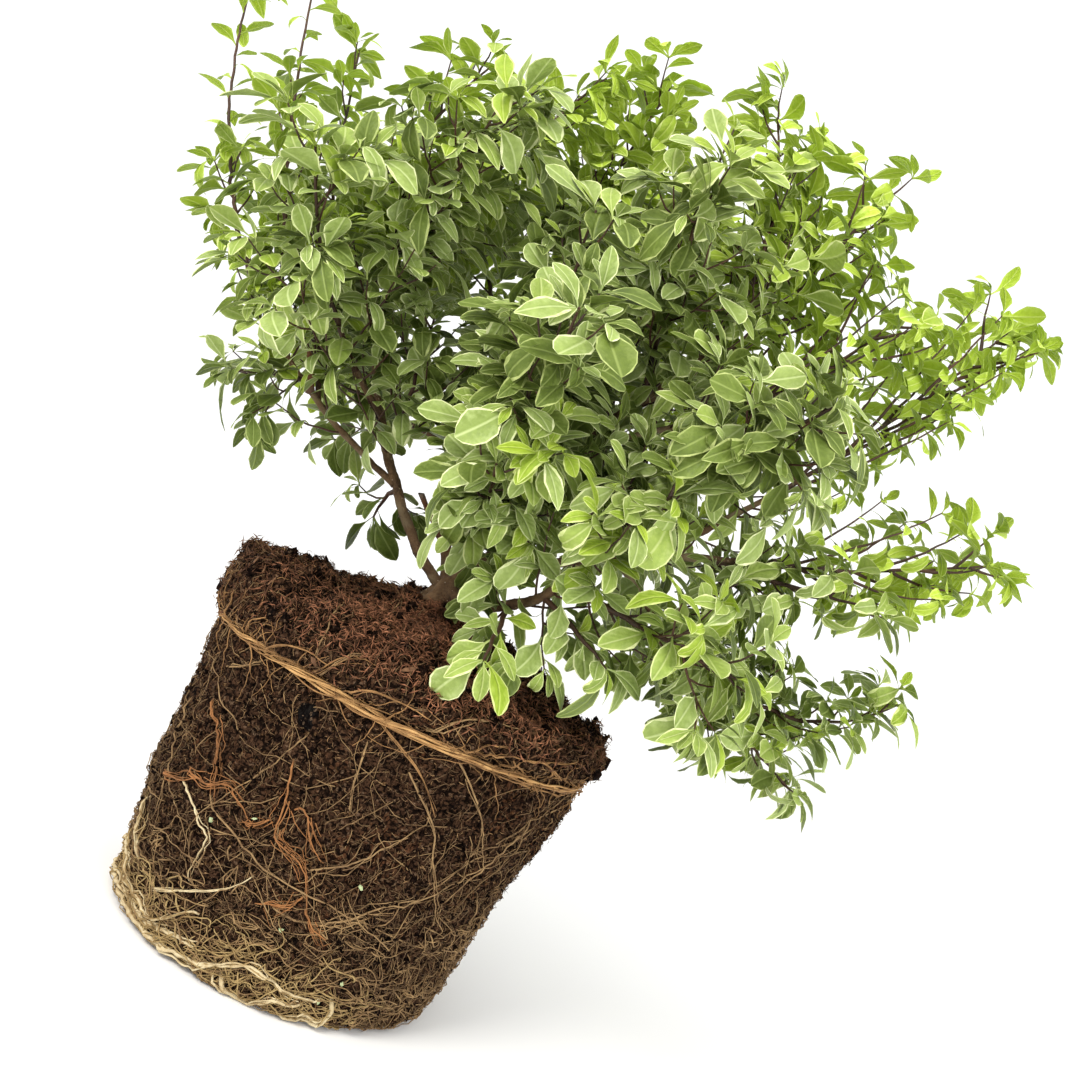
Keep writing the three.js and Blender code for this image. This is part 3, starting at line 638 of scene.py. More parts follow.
def strand_growth():
    """Round strands along the edges of a mesh, as thick as its thickness attribute says."""
    growth = Growth("strands", {"Sides": "NodeSocketInt", "Material": "NodeSocketMaterial"})
    source = growth.source.outputs
    curve = growth.step("GeometryNodeMeshToCurve", {"Mesh": source["Geometry"]})
    section = {"Resolution": source["Sides"], "Radius": MM / 2}
    ring = growth.step("GeometryNodeCurvePrimitiveCircle", section, {"mode": "RADIUS"})
    shape = {
        "Curve": curve,
        "Profile Curve": ring,
        "Scale": growth.named("thickness", "FLOAT"),
        "Fill Caps": True,
    }
    tube = growth.step("GeometryNodeCurveToMesh", shape)
    smooth = growth.step("GeometryNodeSetShadeSmooth", {"Geometry": tube, "Shade Smooth": True})
    real = growth.step("GeometryNodeRealizeInstances", {"Geometry": smooth})
    paint = {"Geometry": real, "Material": source["Material"]}
    return growth.close(growth.step("GeometryNodeSetMaterial", paint))


def scatter_growth():
    """Small shapes on points, each turned, sized and chosen by the points' attributes."""
    inputs = {
        "Shapes": "NodeSocketCollection",
        "Material": "NodeSocketMaterial",
        "Edge material": "NodeSocketMaterial",
    }
    growth = Growth("scatter", inputs)
    source = growth.source.outputs
    shapes = {"Collection": source["Shapes"], "Separate Children": True, "Reset Children": True}
    euler = {"Euler": growth.named("turn", "FLOAT_VECTOR")}
    placing = {
        "Points": source["Geometry"],
        "Instance": growth.step("GeometryNodeCollectionInfo", shapes),
        "Pick Instance": True,
        "Instance Index": growth.named("kind", "INT"),
        "Rotation": growth.step("FunctionNodeEulerToRotation", euler),
        "Scale": growth.named("size", "FLOAT"),
    }
    placed = growth.step("GeometryNodeInstanceOnPoints", placing)
    real = growth.step("GeometryNodeRealizeInstances", {"Geometry": placed})
    paint = {"Geometry": real, "Material": source["Material"]}
    edge_paint = {
        "Geometry": growth.step("GeometryNodeSetMaterial", paint),
        "Selection": growth.named("edge", "BOOLEAN"),
        "Material": source["Edge material"],
    }
    return growth.close(growth.step("GeometryNodeSetMaterial", edge_paint))


STRANDS = strand_growth()
SCATTER = scatter_growth()


def strands(name, paths, thicknesses, material, sides):
    """Round strands, one for each path of points, as one piece."""
    counts = [len(path) for path in paths]
    points = np.concatenate(paths)
    starts = np.cumsum([0] + counts)
    inner = [np.arange(starts[i], starts[i + 1] - 1) for i in range(len(paths))]
    first = np.concatenate(inner)
    edges = np.stack([first, first + 1], axis=1).tolist()
    mesh = mesh_from(name, points, [], edges=edges)
    add_values(mesh, "thickness", "FLOAT", "POINT", np.concatenate(thicknesses))
    return STRANDS.grow(link(name, mesh), {"Sides": sides, "Material": material})


def scatter(name, places, turns, sizes, kinds, shapes, material, edge_material=None):
    """Copies of small shapes as one piece. turns are rotation matrices."""
    mesh = mesh_from(name, places, [])
    eulers = [Matrix(turn.tolist()).to_euler("XYZ")[:] for turn in turns]
    add_values(mesh, "turn", "FLOAT_VECTOR", "POINT", eulers)
    add_values(mesh, "size", "FLOAT", "POINT", sizes)
    add_values(mesh, "kind", "INT", "POINT", kinds)
    values = {"Shapes": shapes, "Material": material, "Edge material": edge_material or material}
    return SCATTER.grow(link(name, mesh), values)


def shape_set(name, meshes):
    """A collection of small shapes for a scatter, not shown itself."""
    holder = bpy.data.collections.new(name)
    for i, mesh in enumerate(meshes):
        holder.objects.link(bpy.data.objects.new(f"{name}_{i:02d}", mesh))
    return holder


def discard(holder):
    for shape in list(holder.objects):
        bpy.data.objects.remove(shape)
    bpy.data.collections.remove(holder)


# The root ball's surface
def ball_profile():
    middle = SHOULDER_HEIGHT / 2
    step = COLLAR_RADIUS - WALL_RADIUS
    return np.array([
        (0, 0),
        (FOOT_RADIUS - FOOT_ROUNDING, 0),
        (FOOT_RADIUS, FOOT_ROUNDING),
        (lerp(FOOT_RADIUS, WALL_RADIUS, 0.25) + 0.6 * WALL_SWELL, middle / 2),
        (lerp(FOOT_RADIUS, WALL_RADIUS, 0.5) + WALL_SWELL, middle),
        (lerp(FOOT_RADIUS, WALL_RADIUS, 0.75) + 0.6 * WALL_SWELL, 1.5 * middle),
        (WALL_RADIUS, SHOULDER_HEIGHT - step),
        (WALL_RADIUS, SHOULDER_HEIGHT + BAND_THICKNESS / 2),
        (COLLAR_RADIUS, SHOULDER_HEIGHT + BAND_THICKNESS),
        (COLLAR_RADIUS, lerp(SHOULDER_HEIGHT, COLLAR_HEIGHT, 0.6)),
        (COLLAR_RADIUS - step, COLLAR_HEIGHT),
        (0.8 * COLLAR_RADIUS, lerp(COLLAR_HEIGHT, SOIL_HEIGHT, 0.35)),
        (0.5 * COLLAR_RADIUS, lerp(COLLAR_HEIGHT, SOIL_HEIGHT, 0.6)),
        (0.25 * COLLAR_RADIUS, lerp(COLLAR_HEIGHT, SOIL_HEIGHT, 0.85)),
        (0.18 * COLLAR_RADIUS, SOIL_HEIGHT),
        (0, SOIL_HEIGHT),
    ])


PROFILE = ball_profile()
PROFILE_AT = np.concatenate([[0], np.cumsum(np.linalg.norm(np.diff(PROFILE, axis=0), axis=1))])
FOOT_AT = PROFILE_AT[2]  # lengths along the profile from the middle of the underside
SHOULDER_AT = PROFILE_AT[7]
COLLAR_AT = PROFILE_AT[10]
CENTRE_AT = PROFILE_AT[-1]


def on_profile(at):
    """The radius and the height of the ball's surface at a length along its profile."""
    return np.interp(at, PROFILE_AT, PROFILE[:, 0]), np.interp(at, PROFILE_AT, PROFILE[:, 1])


def at_height(height):
    """The length along the profile at which the wall or the mound has a height."""
    return np.interp(height, PROFILE[1:, 1], PROFILE_AT[1:])


def ball_centre(height):
    """Where the ball's middle lies to the right of the frame's, at a height."""
    return -BALL_LEAN * (1 - smoothstep(height, 0.35 * SHOULDER_HEIGHT, SHOULDER_HEIGHT))


def lump(angle, height):
    """The broad unevenness of the ball's side, from -1 to 1."""
    slow = np.sin(3 * angle + height / 17) * np.cos(2 * angle - height / 29)
    quick = np.sin(7 * angle - height / 11) * np.cos(5 * angle + height / 7)
    return 0.6 * slow + 0.4 * quick


def toward(angle, bearing, width):
    """1 at a bearing in degrees, falling to 0 at width degrees from it."""
    apart = np.abs((np.degrees(angle) - bearing + 180) % 360 - 180)
    return 1 - smoothstep(apart, 0.3 * width, width)


def settled(angle, radius):
    """How far the peat of the mound has sunk or stands up: it is heaped at the left rim."""
    share = radius / COLLAR_RADIUS
    sunk = 2.2 * smoothstep(share, 0.2, 0.5) * (1 - smoothstep(share, 0.8, 0.97))
    dip = 3.5 * toward(angle, 350, 60) * np.exp(-(((share - 0.83) / 0.1) ** 2))
    heap = 3.4 * toward(angle, 182, 70) * smoothstep(share, 0.55, 0.9)
    return heap - sunk - dip


def crumble(points, mound):
    """How far crumbs and clods of peat stand out at points of the ball. mound is 1 on its top."""
    out = []
    for (x, y, z), top in zip(points.reshape(-1, 3).tolist(), mound.ravel().tolist()):
        high = 0
        for size, shift, on_wall, more in PEAT_RELIEF:
            high += (on_wall + more * top) * bumps(x / size, y / size, z / size + shift)
        out.append(high - PEAT_SUNK)
    return np.array(out).reshape(points.shape[:-1])


def on_ball(angle, at, out=0.0):
    """Points and outward directions of the ball's surface, at bearings in radians and lengths
    along the profile."""
    angle, at = np.broadcast_arrays(np.asarray(angle, float), np.asarray(at, float))
    radius, height = on_profile(at)
    low_radius, low_height = on_profile(at - 2)
    high_radius, high_height = on_profile(at + 2)
    flat = unit(np.stack([high_height - low_height, low_radius - high_radius], axis=-1))
    spoke = np.stack([np.cos(angle), np.sin(angle), np.zeros_like(angle)], axis=-1)
    normal = spoke * flat[..., :1] + UP * flat[..., 1:]
    points = spoke * radius[..., None] + UP * height[..., None]
    relief = lump(angle, height)
    off_foot = smoothstep(height, FOOT_ROUNDING, 4 * FOOT_ROUNDING)
    off_band = smoothstep(np.abs(height - SHOULDER_HEIGHT), BAND_THICKNESS / 2, 2.5 * BAND_THICKNESS)
    on_wall = 1 - smoothstep(height, COLLAR_HEIGHT - 8, COLLAR_HEIGHT)
    on_mound = (1 - on_wall) * smoothstep(radius, 0.2 * COLLAR_RADIUS, 0.5 * COLLAR_RADIUS)
    swell = relief * (WALL_LUMP * off_foot * off_band * on_wall + MOUND_LUMP * on_mound)
    swell = swell + crumble(points, 1 - on_wall) * smoothstep(at, FOOT_AT - 9, FOOT_AT - 3)
    points = points + normal * (swell + out)[..., None]
    points[..., 0] += ball_centre(height)
    rise = smoothstep(height, SHOULDER_HEIGHT + BAND_THICKNESS, COLLAR_HEIGHT)
    rise = rise * smoothstep(radius, 0.2 * COLLAR_RADIUS, 0.5 * COLLAR_RADIUS)
    points[..., 2] -= MOUND_TILT * np.cos(angle) * rise * radius / COLLAR_RADIUS
    points[..., 2] += rise * settled(angle, radius)
    points[..., 2] = np.maximum(points[..., 2], 0.0)
    return points, normal


def peat_ball():
    """The whole ball as one closed surface with crumbly relief."""
    under = np.linspace(0, FOOT_AT - 8, 8)[1:]
    rest = np.arange(FOOT_AT - 7, CENTRE_AT - 2, BALL_STEP)
    rows = np.concatenate([under, rest])
    angles = np.linspace(0, 2 * math.pi, BALL_COLUMNS, endpoint=False)
    points, _ = on_ball(angles[None, :], rows[:, None])
    grid, faces = rings(len(rows), BALL_COLUMNS)
    bottom, top = grid.size, grid.size + 1
    faces += fan(bottom, grid[0], downwards=True) + fan(top, grid[-1])
    ends = [(-BALL_LEAN, 0, 0), (0, 0, SOIL_HEIGHT)]
    points = np.concatenate([points.reshape(-1, 3), ends])
    return link("peat_ball", mesh_from("peat_ball", points, faces, PEAT))


# Roots that run over the ball
def wander(draw, angle, at, heading, step, curl, points):
    """Paths that wander over the ball. Each argument but the last two has one value a path."""
    turning = np.cumsum(draw.normal(0, curl, (len(angle), points)), axis=1)
    way = heading[:, None] + turning
    along = at[:, None] + np.cumsum(step[:, None] * np.sin(way), axis=1)
    along = np.clip(along, FOOT_AT - 3, CENTRE_AT - 12)
    radius, _ = on_profile(along)
    bearing = angle[:, None] + np.cumsum(step[:, None] * np.cos(way) / np.maximum(radius, 8), axis=1)
    return bearing, along


def root_paths(draw, angle, at, heading, length, curl, points, lift):
    """Roots that weave in and out of the ball's surface, and end inside it."""
    step = length / points
    bearing, along = wander(draw, angle, at, heading, step, curl, points)
    weave = lift * (0.9 + 0.8 * np.sin(np.linspace(0, 5, points) + draw.uniform(0, 6, (len(angle), 1))))
    weave[:, 0] = -0.8
    weave[:, -1] = -0.5
    paths, _ = on_ball(bearing, along, weave)
    paths[..., 2] = np.maximum(paths[..., 2], 0.5)
    return list(paths)


def tapering(paths, start, end):
    """Thicknesses along paths. start and end are one value or one a path."""
    start = np.broadcast_to(start, len(paths))
    end = np.broadcast_to(end, len(paths))
    return [np.linspace(s, e, len(path)) for path, s, e in zip(paths, start, end)]


def chosen_places(draw, count, low, high, density):
    """Random bearings and profile lengths, kept where a density from 0 to 1 says."""
    angle = draw.uniform(0, 2 * math.pi, count * 6)
    at = draw.uniform(low, high, count * 6)
    kept = draw.uniform(0, 1, count * 6) < density(angle, at)
    return angle[kept][:count], at[kept][:count]


def everywhere(angle, at):
    """The same density all over."""
    return np.full(angle.shape, 0.6)


def fibre_density(angle, at):
    """Fine roots are densest low on the ball and to the right."""
    low = 1 - smoothstep(at, FOOT_AT + 5, SHOULDER_AT - 10)
    return 0.2 + 0.5 * low + 0.3 * toward(angle, 300, 70) * (1 - smoothstep(at, FOOT_AT, SHOULDER_AT))


def fine_roots():
    draw = np.random.default_rng(SEEDS["fine_roots"])
    pieces = []
    layers = (
        ("root_hairs", 6200, (2.5, 8), (0.2, 0.42), 0.5, 3, 0.9, ROOT_FIBRE, 3),
        ("root_fibres", 2500, (6, 16), (0.2, 0.4), 0.35, 5, 0.5, ROOT_FIBRE, 3),
        ("fine_roots", 500, (20, 60), (0.28, 0.5), 0.24, 12, 0.5, ROOT_TAN, 4),
        ("long_roots", 26, (60, 120), (0.5, 0.8), 0.14, 30, 0.5, ROOT_TAN, 6),
    )
    for name, count, lengths, widths, curl, points, lift, material, sides in layers:
        angle, at = chosen_places(draw, count, FOOT_AT - 3, COLLAR_AT - 2, fibre_density)
        heading = draw.normal(-1.3, 0.9, len(angle)) + (draw.uniform(0, 1, len(angle)) < 0.3) * math.pi
        length = draw.uniform(*lengths, len(angle))
        paths = root_paths(draw, angle, at, heading, length, curl, points, lift)
        width = draw.uniform(*widths, len(angle))
        pieces.append(strands(name, paths, tapering(paths, width, 0.45 * width), material, sides))
    return pieces


def collar_fibres():
    """Coarse fibres on the collar and the mound."""
    draw = np.random.default_rng(SEEDS["collar_fibres"])
    angle, at = chosen_places(draw, COLLAR_FIBRES, SHOULDER_AT + 3, CENTRE_AT - 16, everywhere)
    heading = draw.uniform(0, 2 * math.pi, len(angle))
    paths = root_paths(draw, angle, at, heading, draw.uniform(4, 13, len(angle)), 0.3, 4, 0.9)
    width = draw.uniform(0.25, 0.6, len(angle))
    red = draw.uniform(0, 1, len(paths)) < 0.6
    pieces = []
    for name, wanted, material in (("coir_fibres", red, COIR_DARK), ("collar_fibres", ~red, ROOT_FIBRE)):
        some = [path for path, yes in zip(paths, wanted) if yes]
        widths = tapering(some, width[wanted], 0.5 * width[wanted])
        pieces.append(strands(name, some, widths, material, 3))
    return pieces


def smooth_path(points, step):
    """A smooth path through points, with a point every step."""
    points = np.asarray(points, float)
    ends = np.concatenate([[2 * points[0] - points[1]], points, [2 * points[-1] - points[-2]]])
    out = []
    for i in range(len(points) - 1):
        a, b, c, d = ends[i : i + 4]
        count = max(2, int(np.linalg.norm(c - b) / step))
        t = (np.arange(count) / count)[:, None]
        curve = 2 * b + (c - a) * t + (2 * a - 5 * b + 4 * c - d) * t**2 + (3 * b - a - 3 * c + d) * t**3
        out.append(curve / 2)
    return np.concatenate(out + [points[-1:]])


def own_bearing(angle, at):
    """The bearing about the ball's middle of a place whose bearing is about the frame's axis."""
    radius, height = on_profile(at)
    return angle + ball_centre(height) * np.sin(angle) / radius


def routed(route, draw, out, astray):
    """A root along a route of bearings (degrees) and heights over the ball. It ends inside it."""
    flat = np.array([(math.radians(bearing) * WALL_RADIUS, at_height(height)) for bearing, height in route])
    flat = smooth_path(flat, ROUTE_STEP)
    count = max(4, len(flat) // 6)
    knots = np.linspace(0, 1, count)
    share = np.linspace(0, 1, len(flat))
    flat[:, 0] += np.interp(share, knots, draw.normal(0, astray, count))
    flat[:, 1] += np.interp(share, knots, draw.normal(0, astray, count))
    out = lerp(-0.9, out, smoothstep(np.minimum(share, 1 - share), 0, 0.1))
    points, _ = on_ball(own_bearing(flat[:, 0] / WALL_RADIUS, flat[:, 1]), flat[:, 1], out)
    points[:, 2] = np.maximum(points[:, 2], 1.0)
    return points


# Roots that stand out, by bearing and height
RUST_ROUTES = (
    ((252, 86), (255, 66), (256, 57), (262, 55), (267, 51), (270, 44), (273, 36)),
    ((257, 67), (260, 70), (265, 62), (271, 56)),
    ((270, 44), (266, 38), (258, 34)),
    ((253, 62), (249, 57), (245, 56)),
    ((271, 40), (276, 34), (281, 33)),
    ((222, 60), (231, 60), (238, 64), (244, 60), (250, 56)),
    ((218, 85), (226, 78), (231, 69), (237, 55)),
    ((212, 52), (220, 54), (230, 61)),
)
TAN_ROUTES = (
    ((267, 51), (278, 61), (283, 69), (289, 80)),
    ((267, 101), (268, 90), (269, 83), (271, 73)),
    ((277, 99), (283, 93), (292, 82), (297, 70), (308, 52), (318, 42)),
    ((288, 108), (295, 101), (303, 91), (310, 80), (317, 68)),
    ((216, 96), (223, 99), (234, 108)),
    ((250, 113), (255, 122), (260, 128)),
    ((277, 111), (285, 121), (296, 126), (303, 127)),
    ((45, 104), (52, 80), (49, 55), (58, 30)),
    ((118, 106), (112, 84), (120, 60), (116, 38)),
    ((20, 100), (12, 76), (16, 52)),
    ((150, 104), (158, 82), (154, 58), (163, 35)),
)
PALE_ROUTES = (
    ((221, 56), (228, 54), (234, 48), (239, 45), (239, 39), (238, 32), (239, 26)),
    ((224, 15), (243, 28), (252, 37), (256, 44)),
)
BAND_ROUTES = (
    ((284, 109), (292, 109), (300, 111), (303, 115), (308, 117), (313, 116), (320, 113), (332, 110),
     (344, 109)),
    ((286, 108), (301, 107), (317, 106), (328, 105), (338, 106), (354, 108)),
    ((301, 114), (308, 111), (310, 108), (314, 106)),
    ((315, 115), (317, 110), (312, 106)),
    ((304, 116), (311, 117), (318, 119), (324, 122)),
    ((282, 109), (290, 113), (293, 116), (299, 118)),
    ((283, 109), (291, 111), (298, 115), (305, 116)),
    ((266, 109), (274, 104), (281, 99), (286, 93), (292, 84)),
    ((232, 112), (238, 116), (246, 118), (252, 117)),
    ((246, 111), (251, 117), (255, 122), (262, 125)),
    ((255, 111), (262, 116), (272, 117), (279, 116)),
    ((222, 112), (226, 117), (231, 121)),
    ((214, 112), (213, 116), (210, 121)),
)
FOOT_ROUTES = (
    ((176, 9), (190, 13), (205, 16), (214, 11), (223, 10), (230, 9), (237, 14), (243, 20), (247, 18)),
    ((182, 5), (200, 6), (222, 4), (238, 4), (245, 5), (252, 6), (261, 12), (267, 13), (284, 10),
     (291, 14)),
    ((206, 11), (216, 8), (228, 6), (240, 9), (250, 10)),
    ((257, 7), (261, 3), (267, 2), (274, 6), (284, 8)),
    ((290, 14), (292, 7), (288, 3), (276, 2)),
    ((214, 20), (210, 30), (207, 40)),
)


def bundle(draw, routes, company, width, astray, out):
    """Each route's root, thinner ones that stray beside a part of it, and their thicknesses."""
    paths = []
    widths = []
    for route in routes:
        paths.append(routed(route, draw, draw.uniform(*out), 0.3))
        widths.append(width)
        for _ in range(company):
            path = routed(route, draw, draw.uniform(*out), astray * draw.uniform(0.5, 1.5))
            first = int(draw.uniform(0, 0.5) * len(path))
            last = max(first + 5, int(draw.uniform(0.6, 1.0) * len(path)))
            paths.append(path[first:last])
            widths.append(width * draw.uniform(0.3, 0.65))
    return paths, np.array(widths)


def standing_roots():
    """The roots that the eye picks out."""
    draw = np.random.default_rng(SEEDS["standing_roots"])
    pieces = []
    sets = (
        ("rust_roots", RUST_ROUTES, ROOT_RUST, 8, 0.8, 1.7),
        ("tan_roots", TAN_ROUTES, ROOT_TAN, 2, 0.8, 1.0),
        ("band_branches", BAND_ROUTES, ROOT_AMBER, 2, 0.8, 0.7),
        ("pale_roots", PALE_ROUTES, ROOT_PALE, 2, 0.9, 0.7),
    )
    for name, routes, material, company, width, astray in sets:
        paths, widths = bundle(draw, routes, company, width, astray, (0.5, 1.2))
        pieces.append(strands(name, paths, tapering(paths, widths, 0.45 * widths), material, 6))
    return pieces


def foot_roots():
    """Pale roots that climb round the foot, and thinner ones tangled with them and all round."""
    draw = np.random.default_rng(SEEDS["foot_roots"])
    thick, thick_widths = bundle(draw, FOOT_ROUTES, 3, 1.9, 1.9, (0.6, 2.0))
    thin, thin_widths = bundle(draw, FOOT_ROUTES, 7, 0.95, 3.2, (0.4, 2.4))
    tangled = []
    for k in range(TANGLED_ROOTS):
        pale = k % 3 == 0
        bearing = draw.uniform(190, 295) if pale else draw.uniform(0, 360)
        reach = 14 if pale else 40
        start = np.array([bearing, 2 + reach * draw.uniform() ** 1.5])
        route = start + np.cumsum(draw.normal(0, 1, (4, 2)) * (5, 4), axis=0)
        route[:, 1] = np.clip(route[:, 1], 1, 60)
        path = routed(route, draw, draw.uniform(0.3, 1.8), 1.2)
        if pale:
            thin.append(path)
            thin_widths = np.append(thin_widths, draw.uniform(0.3, 0.85))
        else:
            tangled.append(path)
    thick_widths = tapering(thick, thick_widths, 0.4 * thick_widths)
    thin_widths = tapering(thin, thin_widths, 0.5 * thin_widths)
    thick_piece = strands("foot_roots", thick, thick_widths, ROOT_PALE, 7)
    thin_piece = strands("thin_foot_roots", thin, thin_widths, ROOT_STRAW, 4)
    tangled_piece = strands("tangled_roots", tangled, tapering(tangled, 0.55, 0.3), ROOT_TAN, 4)
    return thick_piece, [thin_piece, tangled_piece]


def shoulder_strands(draw, count, widths, spread):
    """Strands twisted about each other in the step under the collar. A third of them go all the
    way round, and the others leave off in front on the right, where the band is thin."""
    middle = WALL_RADIUS + 1.7
    paths = []
    share = np.linspace(0, 1, BAND_POINTS)
    for k in range(count):
        first = math.radians(draw.uniform(-20, 0))
        last = math.radians(draw.uniform(272, 305))
        angle = lerp(first, first + 2 * math.pi if k % 3 == 0 else last, share)
        own = draw.uniform(0, 2 * math.pi)
        winding = own + draw.integers(5, 13) * angle + 0.9 * np.sin(2 * angle + own)
        loose = 0.9 + 0.5 * toward(angle, 235, 70) - 0.3 * toward(angle, 318, 60)
        wide = draw.uniform(*spread) * loose
        sunk = 1.6 * (1 - smoothstep(np.minimum(share, 1 - share), 0, 0.04))
        radius = middle + 0.7 * wide * np.cos(winding) + 0.2 * np.sin(31 * angle + own) - sunk
        height = SHOULDER_HEIGHT + 0.1 - 1.7 * np.cos(angle) + 0.25 * np.sin(23 * angle + 2 * own)
        height = height + 1.2 * wide * np.sin(winding)
        paths.append(np.stack([radius * np.cos(angle), radius * np.sin(angle), height], axis=-1))
    return paths, [np.full(BAND_POINTS, w) for w in draw.uniform(*widths, count)]


def shoulder_roots():
    draw = np.random.default_rng(SEEDS["shoulder_roots"])
    thick = shoulder_strands(draw, 9, (0.4, 0.95), (0.3, 1.3))
    gold = strands("shoulder_roots", *thick, ROOT_GOLD, 6)
    thin = shoulder_strands(draw, 7, (0.3, 0.65), (0.8, 1.9))
    amber = strands("shoulder_dark_roots", *thin, ROOT_AMBER, 5)

    count, steps = SIDE_ROOTS, SIDE_ROOT_POINTS
    start = draw.uniform(0, 2 * math.pi, count)
    upwards = draw.uniform(0, 1, count) < 0.6
    slope = draw.uniform(0.2, 1.0, count)
    heading = np.where(upwards, slope, -slope)
    heading = np.where(draw.uniform(0, 1, count) < 0.6, heading, math.pi - heading)
    at = np.full(count, SHOULDER_AT - 1) - 1.7 * np.cos(start)
    bearing, along = wander(draw, start, at, heading, draw.uniform(6, 26, count) / steps, 0.22, steps)
    out = np.linspace(2.6, 0.5, steps)[None, :] * np.clip((SHOULDER_AT + 5 - along) / 6, 0.25, 1)
    paths, _ = on_ball(bearing, along, out)
    width = draw.uniform(0.3, 0.6, count)
    sides = strands("shoulder_side_roots", list(paths), tapering(paths, width, 0.22), ROOT_AMBER, 4)
    return [gold, amber], sides


# Crumbs, chips, beads and a stone. The places are bearings and heights.
BEADS = ((238, 51), (249, 59), (282, 54), (268, 30), (291, 19), (287, 10), (40, 44), (96, 66), (150, 30))
STONE_PLACE = (251, 98)
BEAD_SIZE = 1.9
STONE_SIZE = 9.5
SHAPES_A_SET = 6


def lump_shape(name, draw, stretch, corners):
    """A small irregular lump, about 1 mm across before its stretch."""
    points = unit(draw.normal(0, 1, (corners, 3))) * draw.uniform(0.4, 0.6, (corners, 1))
    hull = bmesh.new()
    for point in points * np.array(stretch) * MM:
        hull.verts.new(point)
    made = bmesh.ops.convex_hull(hull, input=hull.verts)
    spare = [item for item in made["geom_interior"] if isinstance(item, bmesh.types.BMVert)]
    bmesh.ops.delete(hull, geom=spare, context="VERTS")
    mesh = bpy.data.meshes.new(name)
    hull.to_mesh(mesh)
    hull.free()
    return mesh


def sliver_shape(name, draw):
    """A thin bent fibre about 3 mm long, with two points and three corners at its middle."""
    half = draw.uniform(1.2, 1.8)
    bow = draw.uniform(-0.6, 0.6)
    thick = draw.uniform(0.1, 0.16)
    points = [(-half, 0, 0), (half, 0, 0)]
    for k in range(3):
        turn = 2 * math.pi * k / 3
        points.append((0.3 * bow, bow + thick * math.cos(turn), 0.35 + thick * math.sin(turn)))
    faces = []
    for k in range(3):
        near, next_one = 2 + k, 2 + (k + 1) % 3
        faces += [(0, next_one, near), (1, near, next_one)]
    return mesh_from(name, points, faces)


def turned_on(normals, draw, tilt):
    """Rotation matrices that stand shapes on a surface, spun at random and tilted a little."""
    normals = unit(normals + draw.normal(0, tilt, normals.shape))
    side = unit(np.cross(normals, unit(draw.normal(0, 1, normals.shape))))
    return np.stack([side, np.cross(normals, side), normals], axis=-1)


def on_top(angle, at):
    """In clumps all over the mound."""
    clumps = np.sin(11 * angle + at / 5) * np.cos(at / 3.7 - 5 * angle)
    return smoothstep(at, SHOULDER_AT, COLLAR_AT + 8) * (0.42 + 0.4 * clumps)


def in_front_of_stool(angle, at):
    """Where the mound is bare of peat and its coir shows light."""
    off_stool = 1 - smoothstep(at, CENTRE_AT - 30, CENTRE_AT - 14)
    return smoothstep(at, SHOULDER_AT + 4, COLLAR_AT) * off_stool * toward(angle, 272, 60)


def places_at(places):
    """Bearings in radians and lengths along the profile of places by bearing and height."""
    spots = np.array([(math.radians(bearing), at_height(height)) for bearing, height in places])
    return spots[:, 0], spots[:, 1]


def crumbs():
    """Crumbs of peat, chips of coir, pale beads and one stone."""
    draw = np.random.default_rng(SEEDS["crumbs"])
    some = range(SHAPES_A_SET)
    lumps = shape_set("crumb_shapes", [lump_shape("crumb", draw, (1.3, 1.0, 0.8), 9) for _ in some])
    chips = shape_set("chip_shapes", [lump_shape("chip", draw, (4.4, 1.0, 0.5), 8) for _ in some])
    slivers = shape_set("sliver_shapes", [sliver_shape("sliver", draw) for _ in some])
    wall = (FOOT_AT - 3, CENTRE_AT - 14)
    top = (SHOULDER_AT, CENTRE_AT - 14)
    sowings = (
        ("dark_crumbs", 4400, wall, everywhere, (0.9, 2.6), 0.2, lumps, CRUMB_DARK, 0.5),
        ("brown_crumbs", 3800, wall, everywhere, (0.6, 1.9), 0.3, lumps, CRUMB_BROWN, 0.5),
        ("rim_lumps", 560, top, on_top, (2.4, 6.5), 0.6, lumps, CRUMB_DARK, 0.6),
        ("brown_slivers", 10000, wall, everywhere, (0.6, 1.6), 0.5, slivers, SLIVER_BROWN, 0.6),
        ("tan_slivers", 3600, wall, everywhere, (0.5, 1.3), 0.6, slivers, SLIVER_TAN, 0.6),
        ("coir_threads", 9500, top, on_top, (0.9, 2.6), 0.7, slivers, COIR_DARK, 0.9),
        ("light_coir_threads", 3800, top, in_front_of_stool, (0.8, 2.3), 0.9, slivers, COIR_LIGHT, 0.9),
        ("wood_chips", 360, top, on_top, (1.1, 2.4), 0.8, chips, WOOD_CHIP, 0.9),
    )
    pieces = []
    for name, count, (low, high), density, sizes, out, shapes, material, tilt in sowings:
        angle, at = chosen_places(draw, count, low, high, density)
        points, normals = on_ball(angle, at, out)
        kinds = draw.integers(0, SHAPES_A_SET, len(angle))
        size = draw.uniform(*sizes, len(angle))
        points[:, 2] = np.maximum(points[:, 2], 1.8 * size)
        turns = turned_on(normals, draw, tilt)
        pieces.append(scatter(name, points, turns, size, kinds, shapes, material))

    angle, at = places_at(BEADS)
    points, normals = on_ball(own_bearing(angle, at), at, 0.8)
    turns = turned_on(normals, draw, 0.3)
    kinds = np.arange(len(BEADS)) % SHAPES_A_SET
    beads = scatter("pale_beads", points, turns, np.full(len(BEADS), BEAD_SIZE), kinds, lumps, BEAD)
    points, normals = on_ball(*places_at([STONE_PLACE]), 0.4)
    flake = shape_set("stone_shape", [lump_shape("flake", draw, (1.2, 1.0, 0.34), 16)])
    turns = turned_on(normals, draw, 0.05)
    stone = scatter("stone", points, turns, np.array([STONE_SIZE]), [0], flake, STONE)
    for shapes in (lumps, chips, slivers, flake):
        discard(shapes)
    return pieces, [beads, stone]


